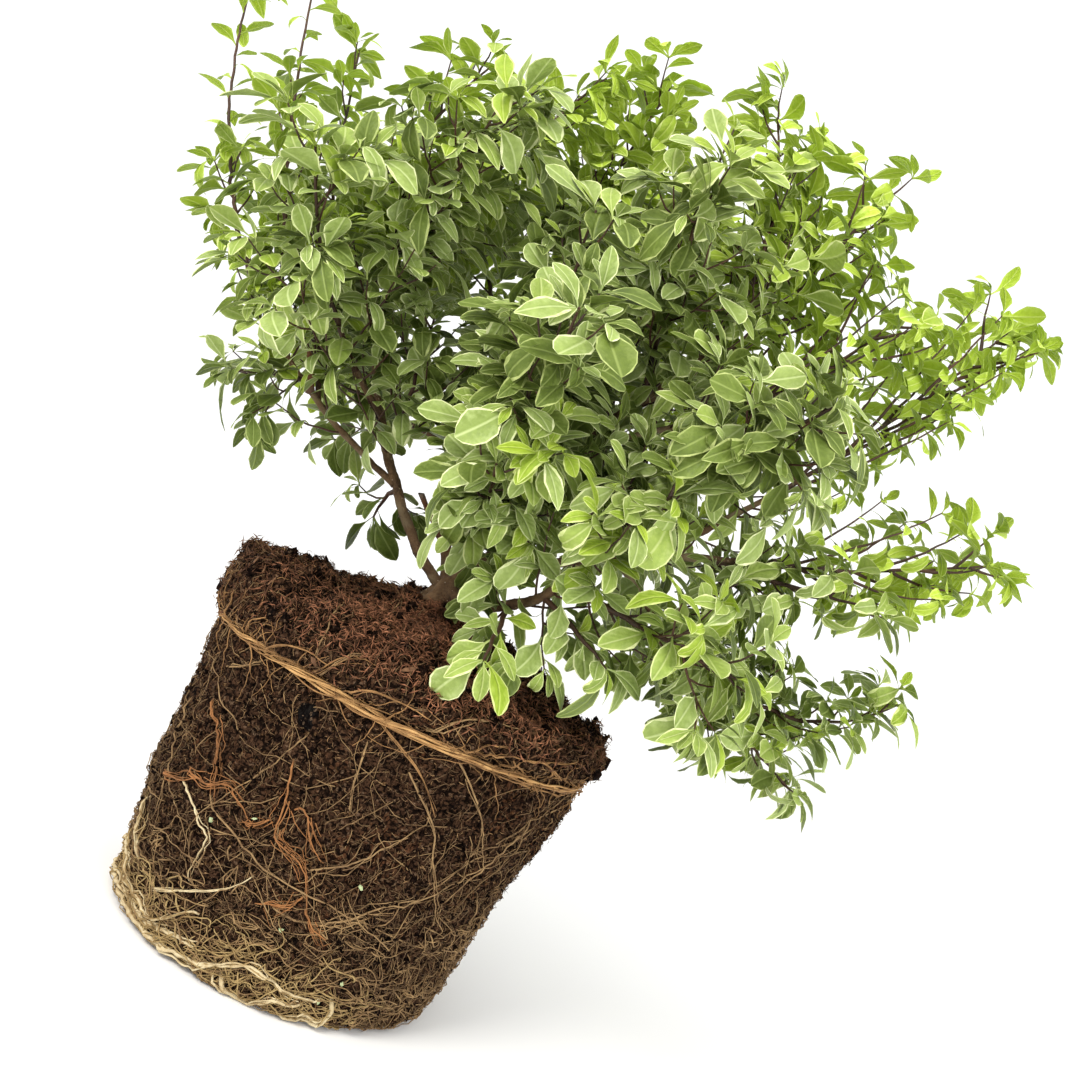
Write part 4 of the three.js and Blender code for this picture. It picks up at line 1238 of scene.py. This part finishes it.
# Limbs
class Curve:
    """A curve with three control points."""

    def __init__(self, start, middle, end):
        self.knots = [np.array(knot, float) for knot in (start, middle, end)]

    def point(self, t):
        a, b, c = self.knots
        t = np.asarray(t, float)[..., None]
        return (1 - t) ** 2 * a + 2 * t * (1 - t) * b + t**2 * c

    def way(self, t):
        a, b, c = self.knots
        return unit(lerp(b - a, c - b, t))

    def stretch(self, start, end):
        a, b, c = self.knots
        middle = self.point(start) + (lerp(b, c, start) - lerp(a, b, start)) * (end - start)
        return Curve(self.point(start), middle, self.point(end))

    def length(self):
        return float(np.linalg.norm(np.diff(self.point(np.linspace(0, 1, 33)), axis=0), axis=1).sum())


def bent(start, end, out, up):
    start = np.array(start, float)
    end = np.array(end, float)
    middle = lerp(start, end, np.array([out, out, up]))
    return Curve(start, middle, end)


def onward(start, way, end):
    start = np.array(start, float)
    end = np.array(end, float)
    return Curve(start, start + way * ONWARD_SHARE * np.linalg.norm(end - start), end)


# A limb has its thickness at both ends. A leader is the whole curve, the share of it that is bare,
# its thickness where the leaves start, and how far its side shoots spread.
Limb = namedtuple("Limb", "curve start end")
Leader = namedtuple("Leader", "curve bare thickness spread")


def grow_limbs():
    """Stems, boughs and dead stubs, and the twig that each bough or stem goes on into."""
    limbs = {name: Limb(bent(STEM_START, end, out, up), STEM_THICKNESS, STEM_TIP_THICKNESS)
             for name, (end, out, up) in STEMS.items()}
    leaders = {}
    for name, (carrier, at, end, bend, bare, spread) in LEADERS.items():
        source = limbs[carrier].curve
        start = source.point(at)
        whole = onward(start, source.way(at), end) if bend is ONWARD else bent(start, end, *bend)
        thickness = lerp(LEADER_THICKNESS, LEADER_TIP_THICKNESS, bare)
        if bare > 0:
            limbs[name] = Limb(whole.stretch(0, bare), LEADER_THICKNESS, thickness)
        leaders[name] = Leader(whole, bare, thickness, spread)
    stubs = {}
    for name, (carrier, at, end) in STUBS.items():
        start = limbs[carrier].curve.point(at)
        stubs[name] = Limb(bent(start, end, 0.5, 0.5), STUB_THICKNESS, 0.8 * STUB_THICKNESS)
    return limbs, leaders, stubs


def bark_tube(curve, start, end, sides, seed, torn):
    """Rings of points round a curve with the bark's relief, and the quads and caps between them."""
    length = curve.length()
    count = max(6, int(length / LIMB_STEP))
    t = np.linspace(0, 1, count)
    centres = curve.point(t)
    sway = 0.45 * np.sin(math.pi * t)
    for axis in range(3):
        wave = [bumps(seed * 7.3 + axis * 3.1, s * length / 17, 0) for s in t]
        centres[:, axis] += 2.4 * sway * np.array(wave)
    ways = unit(np.gradient(centres, axis=0))
    side = unit(np.cross(ways, unit(np.array([0.31, 0.17, 0.93]) + 0.01 * seed)))
    other = np.cross(ways, side)
    angle = np.linspace(0, 2 * math.pi, sides, endpoint=False)
    radius = lerp(start, end, t) / 2
    radius = radius * (1 + 0.45 * np.exp(-t * length / 3.5))
    nodes = np.maximum(0, np.cos(t * length / 2.3 + seed)) ** 12
    radius = radius + 0.22 * nodes
    points = []
    for i in range(count):
        for a in angle:
            out = other[i] * math.sin(a) + side[i] * math.cos(a)
            run = t[i] * length
            ridge = bumps(2.2 * math.cos(a), 2.2 * math.sin(a), run / 5 + seed)
            fine = bumps(5 * math.cos(a), 5 * math.sin(a), run / 1.3 + 9 * seed)
            relief = BARK_RIDGE * start * ridge + BARK_GRAIN * start * fine
            points.append(centres[i] + out * (radius[i] + relief))
    if torn:
        for k in range(2 * sides):
            points[-1 - k] = points[-1 - k] + ways[-1] * 2.2 * bumps(k * 1.7, seed, 3)
    grid, quads = rings(count, sides)
    return np.array(points), quads + [grid[0][::-1].tolist(), grid[-1].tolist()]


def joined_tubes(name, limbs, material, torn=False):
    points = []
    faces = []
    for seed, limb in enumerate(limbs):
        sides = LIMB_SIDES if limb.start > 4 else LIMB_SIDES - 4
        thick, thin = BARK_SHARE * limb.start, BARK_SHARE * limb.end
        some, quads = bark_tube(limb.curve, thick, thin, sides, seed + 1, torn)
        base = sum(len(p) for p in points)
        faces += [[base + corner for corner in face] for face in quads]
        points.append(some)
    return link(name, mesh_from(name, np.concatenate(points), faces, material))


def stool_piece():
    """The short trunk: root flare on the soil, and a rounded crown between the stems."""
    count = len(STOOL_ROWS)
    points = []
    for i, (across, height) in enumerate(STOOL_ROWS):
        low = 1 - i / count
        for a in np.linspace(0, 2 * math.pi, STOOL_SIDES, endpoint=False):
            rough = bumps(2 * math.cos(a), 2 * math.sin(a), i / 2)
            radius = STOOL_RADIUS * across * (1 + 0.16 * low * math.sin(5 * a) + 0.14 * rough)
            points.append((STOOL_X + radius * math.cos(a), radius * math.sin(a), SOIL_HEIGHT + height))
    points.append((STOOL_X, 0, SOIL_HEIGHT + STOOL_TOP))
    grid, faces = rings(count, STOOL_SIDES)
    faces += fan(len(points) - 1, grid[-1])
    faces.append(grid[0][::-1].tolist())
    piece = link("stool_bark", mesh_from("stool_bark", points, faces, BARK))
    finer = piece.modifiers.new("finer", "SUBSURF")
    finer.levels = finer.render_levels = 1
    return piece


# Foliage
class Stalk:
    """A stalk that leaves and side shoots stand on, given by its points."""

    def __init__(self, points):
        self.points = points
        steps = np.linalg.norm(np.diff(points, axis=0), axis=1)
        self.length = float(steps.sum())
        self.at = np.concatenate([[0], np.cumsum(steps)]) / self.length

    def point(self, share):
        return np.array([np.interp(share, self.at, self.points[:, axis]) for axis in range(3)])

    def way(self, share):
        return unit(self.point(min(1, share + 0.04)) - self.point(max(0, share - 0.04)))


def away_from(way, spread, turn):
    """The direction that leaves a stalk at an angle to it, turned about it."""
    side = np.cross(way, UP)
    if np.linalg.norm(side) < 0.1:
        side = np.array([1.0, 0.0, 0.0])
    side = unit(side)
    other = np.cross(way, side)
    return way * math.cos(spread) + (side * math.cos(turn) + other * math.sin(turn)) * math.sin(spread)


Leaf = namedtuple("Leaf", "root turn size kind")


class Crown:
    """The twigs and leaves made so far, and the mass that grows now with its random numbers."""

    def __init__(self, limbs):
        self.twigs = []
        self.twig_thickness = []
        self.leaves = {tone: [] for tone in TONES}
        self.masses = {tone: set() for tone in TONES}
        self.wood = np.concatenate([limb.curve.point(np.linspace(0, 1, 16)) for limb in limbs])

    def begin(self, mass, seed):
        self.mass = mass
        self.seed = seed
        self.chance = Chance(seed)

    def clear(self, point, margin=LIMB_CLEARANCE):
        """Whether a point keeps off the soil and the limbs."""
        radius = math.hypot(point[0], point[1])
        if radius < COLLAR_RADIUS + 2:
            rise = 1 - smoothstep(radius, 0.15 * COLLAR_RADIUS, COLLAR_RADIUS)
            if point[2] < lerp(COLLAR_HEIGHT, SOIL_HEIGHT, rise) + MOUND_LUMP + 1:
                return False
        return np.min(np.sum((self.wood - point) ** 2, axis=1)) > margin**2

    def add_twig(self, points, ends):
        self.twigs.append(points)
        self.twig_thickness.append(np.linspace(*ends, len(points)))

    def add_leaf(self, root, along, size, tone):
        """A leaf whose upper face is turned upwards and out of the crown, a little astray."""
        far = root + along * size * LEAF_LENGTH
        if not self.clear(far) or not self.clear(lerp(root, far, 0.55)):
            return
        chance = self.chance
        light = UP + LEAF_OUTWARDS * unit(np.array([root[0], root[1], 0.0]))
        light = light + LEAF_ASTRAY * np.array([chance.next() - 0.5, chance.next() - 0.5, 0])
        across = unit(np.cross(along, light))
        turn = np.stack([across, along, np.cross(across, along)], axis=-1)
        tone = min(max(tone + round(chance.between(-0.75, 0.75)), 0), len(TONES) - 1)
        kind = int(chance.between(NARROWER_KINDS_FROM if tone > 2 else 0, LEAF_KINDS - 0.01))
        self.leaves[TONE_NAMES[tone]].append(Leaf(root, turn, size, kind))
        self.masses[TONE_NAMES[tone]].add(self.mass)


def tone_of(point, chance):
    """Which green a spray has, by painted light and shade at its place: fresher towards the top, the
    right and the outside, partly as young growth really is, darker in painted shade inside the crown
    and in the middle of the front, and greyer in front, lightened low down against the shade above."""
    high = (point[2] - SOIL_HEIGHT) / 250
    right = (point[0] + 60) / 260
    outside = np.linalg.norm((point - CROWN_MIDDLE) / CROWN_REACH)
    front = smoothstep(-point[1], 30, 110)
    low = 1 - smoothstep(point[2], 200, 260)
    light = LIGHT_AT_FOOT + LIGHT_OF_HEIGHT * high + LIGHT_TO_RIGHT * right
    light += LIGHT_OUTSIDE * (min(outside, 1.2) - 0.7)
    # Painted shade: the front takes light off, less so low down; painted light at the left side.
    light += LIGHT_AT_LEFT_SIDE * smoothstep(-point[0], 30, 110) - PAINTED_SHADE_IN_FRONT * front * (1 - low)
    light += LIGHT_AT_RIGHT_SIDE * smoothstep(point[0], 30, 130) * (1 - low)
    # Painted light: low in front the leaves are lightened, up to a limit, against the shade of the crown
    # above.
    light = lerp(light, min(light + 0.2, MOST_PAINTED_LIGHT_LOW_IN_FRONT), front * low)
    light += lerp(0.36, 0.2, front * low) * (chance.next() - 0.5)
    return int(np.searchsorted(TONE_LIMITS, light))


def leaf_row(crown, stalk, first, first_turn, size, tone, hang):
    """Leaves along a stalk, each turned by the golden angle from the one before. They droop more
    the greater hang is, up to 1."""
    chance = crown.chance
    count = max(1, round((1 - first) * stalk.length / LEAF_SPACING))
    for i in range(count):
        at = lerp(first, 0.97, (i + 0.3 * chance.next()) / count)
        turn = first_turn + i * GOLDEN_ANGLE
        spread = LEAF_SPREAD * chance.between(0.75, 1.25)
        along = away_from(stalk.way(at), spread, turn)
        along = unit(along + UP * chance.between(-0.15, 0.25) + HANG * hang)
        young = 1 - 0.28 * (i / count) ** 2
        crown.add_leaf(stalk.point(at), along, size * young * chance.between(0.78, 1.12), tone)


def tip_cluster(crown, stalk, size, tone):
    """The small young leaves at the end of a shoot."""
    chance = crown.chance
    fresh = min(tone + 1, len(TONES) - 1)
    count = 4 + int(chance.next() * 3)
    for i in range(count):
        turn = i * GOLDEN_ANGLE + 2 * chance.next()
        along = away_from(stalk.way(1), math.radians(lerp(58, 14, i / count)), turn)
        young = lerp(1.08, 0.42, i / count) * chance.between(0.85, 1.1)
        crown.add_leaf(stalk.point(0.99), along, size * young, tone if i < 2 else fresh)


def zigzag(points, amount, chance):
    """The points of a stalk, all but its ends moved a little."""
    kinks = np.array([[chance.next() - 0.5 for _ in range(3)] for _ in points])
    return points + kinks * amount * np.sin(math.pi * np.linspace(0, 1, len(points)))[:, None]


def shoot_points(start, way, reach, chance, lift=1.0):
    """A shoot that turns up to the light as it grows, with a slight zigzag."""
    end = start + unit(way + UP * lift * SHOOT_LIFT * chance.between(0.5, 1.3)) * reach
    curve = Curve(start, start + way * reach * 0.5, end)
    return zigzag(curve.point(np.linspace(0, 1, max(4, int(reach / 4)))), SHOOT_ZIGZAG, chance)


def dress_shoot(crown, points, ends, first, turn, sizes, tone, hang=0.0):
    """A shoot's twig, with leaves along it from a share of its length and young ones at its end.
    ends are its thicknesses there, and sizes are the leaves'."""
    shoot = Stalk(points)
    crown.add_twig(points, ends)
    leaf_row(crown, shoot, first, turn, sizes[0], tone, hang)
    tip_cluster(crown, shoot, sizes[1], tone)
    return shoot


def branch_shoot(crown, shoot, turn, reach, size, tone, hang):
    """Two short side shoots of a side shoot."""
    chance = crown.chance
    ends = (0.8 * SHOOT_THICKNESS, SHOOT_TIP_THICKNESS)
    for at in (0.35, 0.62):
        turn += GOLDEN_ANGLE + chance.next()
        way = away_from(shoot.way(at), SHOOT_SPREAD, turn)
        path = shoot_points(shoot.point(at), way, reach * chance.between(0.35, 0.5), chance)
        dress_shoot(crown, path, ends, 0.3, turn, (0.92 * size, size), tone, hang)


def fullness_at(end, fanned):
    """How close a leader's side shoots stand, from where it ends: least over the rim of the ball."""
    fullness = lerp(LEAST_FULLNESS, GREATEST_FULLNESS, smoothstep(end[0], -130, 130))
    over_rim = math.hypot(end[0], end[1]) < 110 and end[2] < 165
    return fullness * lerp(1, FAN_FULLNESS, fanned) * (RIM_FULLNESS if over_rim else 1)


def dress_leader(crown, leader):
    """A leader's twig with its side shoots, their side shoots and all their leaves. fanned is 1
    high on the right, where long shoots lie close along their leader, and 0 elsewhere."""
    chance = crown.chance
    length = leader.curve.length()
    last = 1 - 0.5 * LEAF_LENGTH / length
    points = leader.curve.point(np.linspace(leader.bare, last, max(5, int(length / 5))))
    points = zigzag(points, LEADER_ZIGZAG, chance)
    end = points[-1]
    fanned = smoothstep(end[0], 20, 150) * smoothstep(end[2], 225, 285)
    tone = tone_of(end, chance)
    ends = (0.85 * leader.thickness, TWIG_TIP_THICKNESS)
    stalk = dress_shoot(crown, points, ends, 0.08, crown.seed, (1.0, 1.2), tone, fanned)
    size = min(1.05, max(0.95, leader.spread / 24))
    shoot_ends = (lerp(SHOOT_THICKNESS, FAN_SHOOT_THICKNESS, fanned), SHOOT_TIP_THICKNESS)
    shoots = round(fullness_at(end, fanned) * stalk.length / SHOOT_SPACING)
    for i in range(shoots):
        at = lerp(0.02, 0.93, i / max(1, shoots - 1))
        reach = leader.spread * lerp(LOW_SHOOT_REACH, HIGH_SHOOT_REACH, at) * chance.between(0.7, 1.25)
        reach *= lerp(1, BACK_REACH, smoothstep(end[1], 20, 90))
        fan_reach = 0.75 * (1 - at) * stalk.length + 0.7 * leader.spread
        fan_reach = min(fan_reach, LONGEST_FAN_SHOOT) * chance.between(0.7, 1.1)
        reach = lerp(reach, fan_reach, fanned)
        turn = i * GOLDEN_ANGLE + 2.5 * chance.next()
        apart = lerp(SHOOT_SPREAD, math.asin(min(0.7, 0.85 * leader.spread / reach)), fanned)
        way = away_from(stalk.way(at), apart * chance.between(0.8, 1.2), turn)
        path = shoot_points(stalk.point(at), way, reach, chance, lerp(1, FAN_STRAIGHTNESS, fanned))
        if reach < SHORTEST_SHOOT or not crown.clear(path[-1], SHOOT_CLEARANCE):
            continue
        tone = tone_of(path[-1], chance)
        shoot = dress_shoot(crown, path, shoot_ends, 0.2, turn, (size, size), tone, fanned)
        if reach > BRANCHING_REACH and fanned < 0.5:
            branch_shoot(crown, shoot, turn, reach, size, tone, fanned)


def dress_limb(crown, curve, start):
    """Short leafy shoots that fill the inside of the crown along a limb, from a share of it."""
    chance = crown.chance
    stalk = Stalk(curve.point(np.linspace(start, 1, 12)))
    for i in range(round(stalk.length / INNER_SHOOT_SPACING)):
        at = (i + 0.5) * INNER_SHOOT_SPACING / stalk.length
        turn = i * GOLDEN_ANGLE + 2 * chance.next()
        way = away_from(stalk.way(at), math.radians(chance.between(40, 65)), turn)
        reach = INNER_SHOOT_REACH * chance.between(0.7, 1.3)
        path = shoot_points(stalk.point(at), way, reach, chance)
        if crown.clear(path[-1], SHOOT_CLEARANCE):
            tone = tone_of(path[-1], chance)
            ends = (SHOOT_THICKNESS, SHOOT_TIP_THICKNESS)
            dress_shoot(crown, path, ends, 0.25, turn, (0.95, 0.95), tone)


def leaf_shape(name, draw, wide, fullest, blunt, least_bow, most_bow):
    """One leaf as a surface a millimetre long, with its edge strips marked for the margin."""
    wide *= draw.uniform(0.9, 1.1)
    bend = draw.uniform(least_bow, most_bow) * LEAF_ROWS
    fold = draw.uniform(-0.3, 0.5)
    twist = draw.uniform(-0.6, 0.6)
    wave = draw.uniform(0.012, 0.04)
    waves = draw.uniform(8, 13)
    phase = draw.uniform(0, 6)
    lean = draw.uniform(-0.08, 0.08)
    step = np.diff(LEAF_ROWS, prepend=0)
    forward = np.cumsum(step * np.cos(bend))
    drop = -np.cumsum(step * np.sin(bend))
    blade = np.clip((LEAF_ROWS - 0.1) / 0.9, 0, 1)
    power = lerp(1.05, blunt, smoothstep(blade, 0.25, 0.8))
    half = wide * np.maximum(0, np.sin(math.pi * blade**fullest)) ** power
    half = np.maximum(half, np.where(LEAF_ROWS < 0.15, LEAF_STALK, LEAF_TIP))
    points = []
    places = []
    for i, v in enumerate(LEAF_ROWS):
        left = half[i] * draw.uniform(0.93, 1.05)
        right = half[i] * draw.uniform(0.93, 1.05)
        strips = LEAF_EDGE * np.exp(draw.normal(0, 0.65, 2))
        left_strip, right_strip = np.minimum(0.42 * half[i], strips)
        for u in (-left, left_strip - left, 0.0, right - right_strip, right):
            edge = abs(u) / wide
            high = fold * abs(u) + wave * math.sin(waves * v + phase + (2.2 if u > 0 else 0)) * edge**1.5
            high -= 0.35 * fold * edge * edge * wide
            roll = twist * v
            x = u * math.cos(roll) - high * math.sin(roll) + lean * math.sin(math.pi * v)
            z = u * math.sin(roll) + high * math.cos(roll)
            points.append((x, forward[i] - 0.6 * z * math.sin(bend[i]), drop[i] + z * math.cos(bend[i])))
            places.append((0.5 + 0.5 * u / wide, v))
    faces = []
    edges = []
    for i in range(len(LEAF_ROWS) - 1):
        for j in range(4):
            a = 5 * i + j
            faces.append((a, a + 1, a + 6, a + 5))
            edges.append(j in (0, 3) and i > 1)
    mesh = mesh_from(name, points, faces)
    add_values(mesh, "edge", "BOOLEAN", "FACE", edges)
    layer = mesh.uv_layers.new(name="leaf")
    for loop in mesh.loops:
        layer.data[loop.index].uv = places[loop.vertex_index]
    return mesh


def dress_crown(limbs, leaders):
    crown = Crown(limbs.values())
    for seed, (name, leader) in enumerate(leaders.items(), FIRST_LEADER_SEED):
        crown.begin(name, seed)
        dress_leader(crown, leader)
    for seed, (name, limb) in enumerate(limbs.items(), FIRST_LIMB_SEED):
        crown.begin(name if name in leaders else INNER_MASS[name], seed)
        leafy_from = INNER_SHOOTS_FROM if name in STEMS else BOUGH_SHOOTS_FROM
        dress_limb(crown, limb.curve, LOW_SHOOTS_FROM if name == "low_front" else leafy_from)
    draw = np.random.default_rng(SEEDS["leaf_shapes"])
    meshes = [leaf_shape("leaf", draw, *form) for form, count in LEAF_FORMS for _ in range(count)]
    shapes = shape_set("leaf_shapes", meshes)
    pieces = {}
    for tone, leaves in crown.leaves.items():
        roots, turns, sizes, kinds = zip(*leaves)
        sizes = np.array(sizes) * LEAF_LENGTH
        name = f"leaves_{tone}"
        pieces[tone] = scatter(name, roots, turns, sizes, kinds, shapes, BLADES[tone], MARGINS[tone])
        pieces[tone].data.shade_smooth()
    discard(shapes)
    twigs = strands("twigs", crown.twigs, crown.twig_thickness, TWIG, 5)
    return pieces, crown.masses, twigs


# Camera, floor and light
def add_camera():
    yaw, pitch, roll = CAMERA_YAW, CAMERA_PITCH, CAMERA_ROLL
    forward = np.array([
        math.sin(yaw) * math.cos(pitch),
        math.cos(yaw) * math.cos(pitch),
        -math.sin(pitch),
    ])
    level = np.array([math.cos(yaw), -math.sin(yaw), 0.0])
    upright = np.cross(level, forward)
    right = math.cos(roll) * level + math.sin(roll) * upright
    up = -math.sin(roll) * level + math.cos(roll) * upright
    data = bpy.data.cameras.new("camera")
    data.sensor_width = SENSOR_WIDTH
    data.lens = CAMERA_FOCAL / PICTURE_SIZE * data.sensor_width
    data.clip_start = NEAREST_SEEN
    camera = bpy.data.objects.new("camera", data)
    turn = Matrix(np.stack([right, up, -forward], axis=-1).tolist())
    camera.matrix_world = Matrix.Translation(Vector(CAMERA_PLACE) * MM) @ turn.to_4x4()
    bpy.context.scene.collection.objects.link(camera)
    bpy.context.scene.camera = camera


def add_floor():
    far = FLOOR_REACH
    corners = [(-far, -far, 0), (far, -far, 0), (far, far, 0), (-far, far, 0)]
    paint = Paint("pale_floor")
    tone = paint.blend(paint.mottle(400), "f4f3f1", "f7f7f6")
    floor = link("floor", mesh_from("floor", corners, [(0, 1, 2, 3)], paint.finish(tone, 0.9)))


def add_lamp(name, place, aim, width, power, tint):
    data = bpy.data.lights.new(name, "AREA")
    data.shape = "DISK"
    data.size = width
    data.energy = power
    data.color = tint
    lamp = bpy.data.objects.new(name, data)
    lamp.location = place
    lamp.rotation_euler = (Vector(aim) - Vector(place)).to_track_quat("-Z", "Y").to_euler()
    bpy.context.scene.collection.objects.link(lamp)


def add_lights():
    world = bpy.data.worlds.new("soft_light")
    world.use_nodes = True
    background = world.node_tree.nodes["Background"].inputs
    background["Color"].default_value = (1.0, 1.0, 1.0, 1.0)
    background["Strength"].default_value = WORLD_STRENGTH
    bpy.context.scene.world = world
    for lamp in LAMPS:
        add_lamp(*lamp)
    bpy.context.scene.view_settings.view_transform = "Standard"


# The pieces
def put(piece, slot_name, *nodes):
    """Make a piece ride on the root body, and hide the solids that it stands for. slot_name, the finish
    that it takes, is not used.
    """
    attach(piece, "root")
    if nodes:
        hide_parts(*nodes)


add_camera()
add_floor()
add_lights()

put(peat_ball(), "peat_root_ball", "root_ball")
crumb_pieces, bead_pieces = crumbs()
for piece in crumb_pieces:
    put(piece, "peat_root_ball")
for piece in bead_pieces:
    put(piece, "pale_root")
for piece in fine_roots() + collar_fibres():
    put(piece, "tan_root")
for piece in standing_roots():
    put(piece, "pale_root" if piece.name == "pale_roots" else "tan_root")
thick_foot, (thin_foot, tangled_foot) = foot_roots()
put(thick_foot, "pale_root", "foot_root")
put(thin_foot, "pale_root")
put(tangled_foot, "tan_root")
shoulder_rings, shoulder_sides = shoulder_roots()
for piece in shoulder_rings:
    put(piece, "tan_root", "shoulder_root_band")
put(shoulder_sides, "tan_root")

limbs, leaders, stubs = grow_limbs()
limb_nodes = [node for node in frame["nodes"] if node.startswith(("stem_", "bough_"))]
put(joined_tubes("stems_and_boughs", limbs.values(), BARK), "bark", *limb_nodes)
put(stool_piece(), "bark", "stool")
stub_nodes = [node for node in frame["nodes"] if node.startswith("dead_stub_")]
put(joined_tubes("dead_stubs", stubs.values(), DEAD_WOOD, torn=True), "dead_wood", *stub_nodes)

leaf_pieces, leaf_masses, twig_piece = dress_crown(limbs, leaders)
foliage_nodes = [node for node in frame["nodes"] if node.startswith("foliage_")]
put(twig_piece, "bark", *foliage_nodes)
for tone, piece in leaf_pieces.items():
    put(piece, TONES[tone][2], *[f"foliage_{name}" for name in sorted(leaf_masses[tone])])
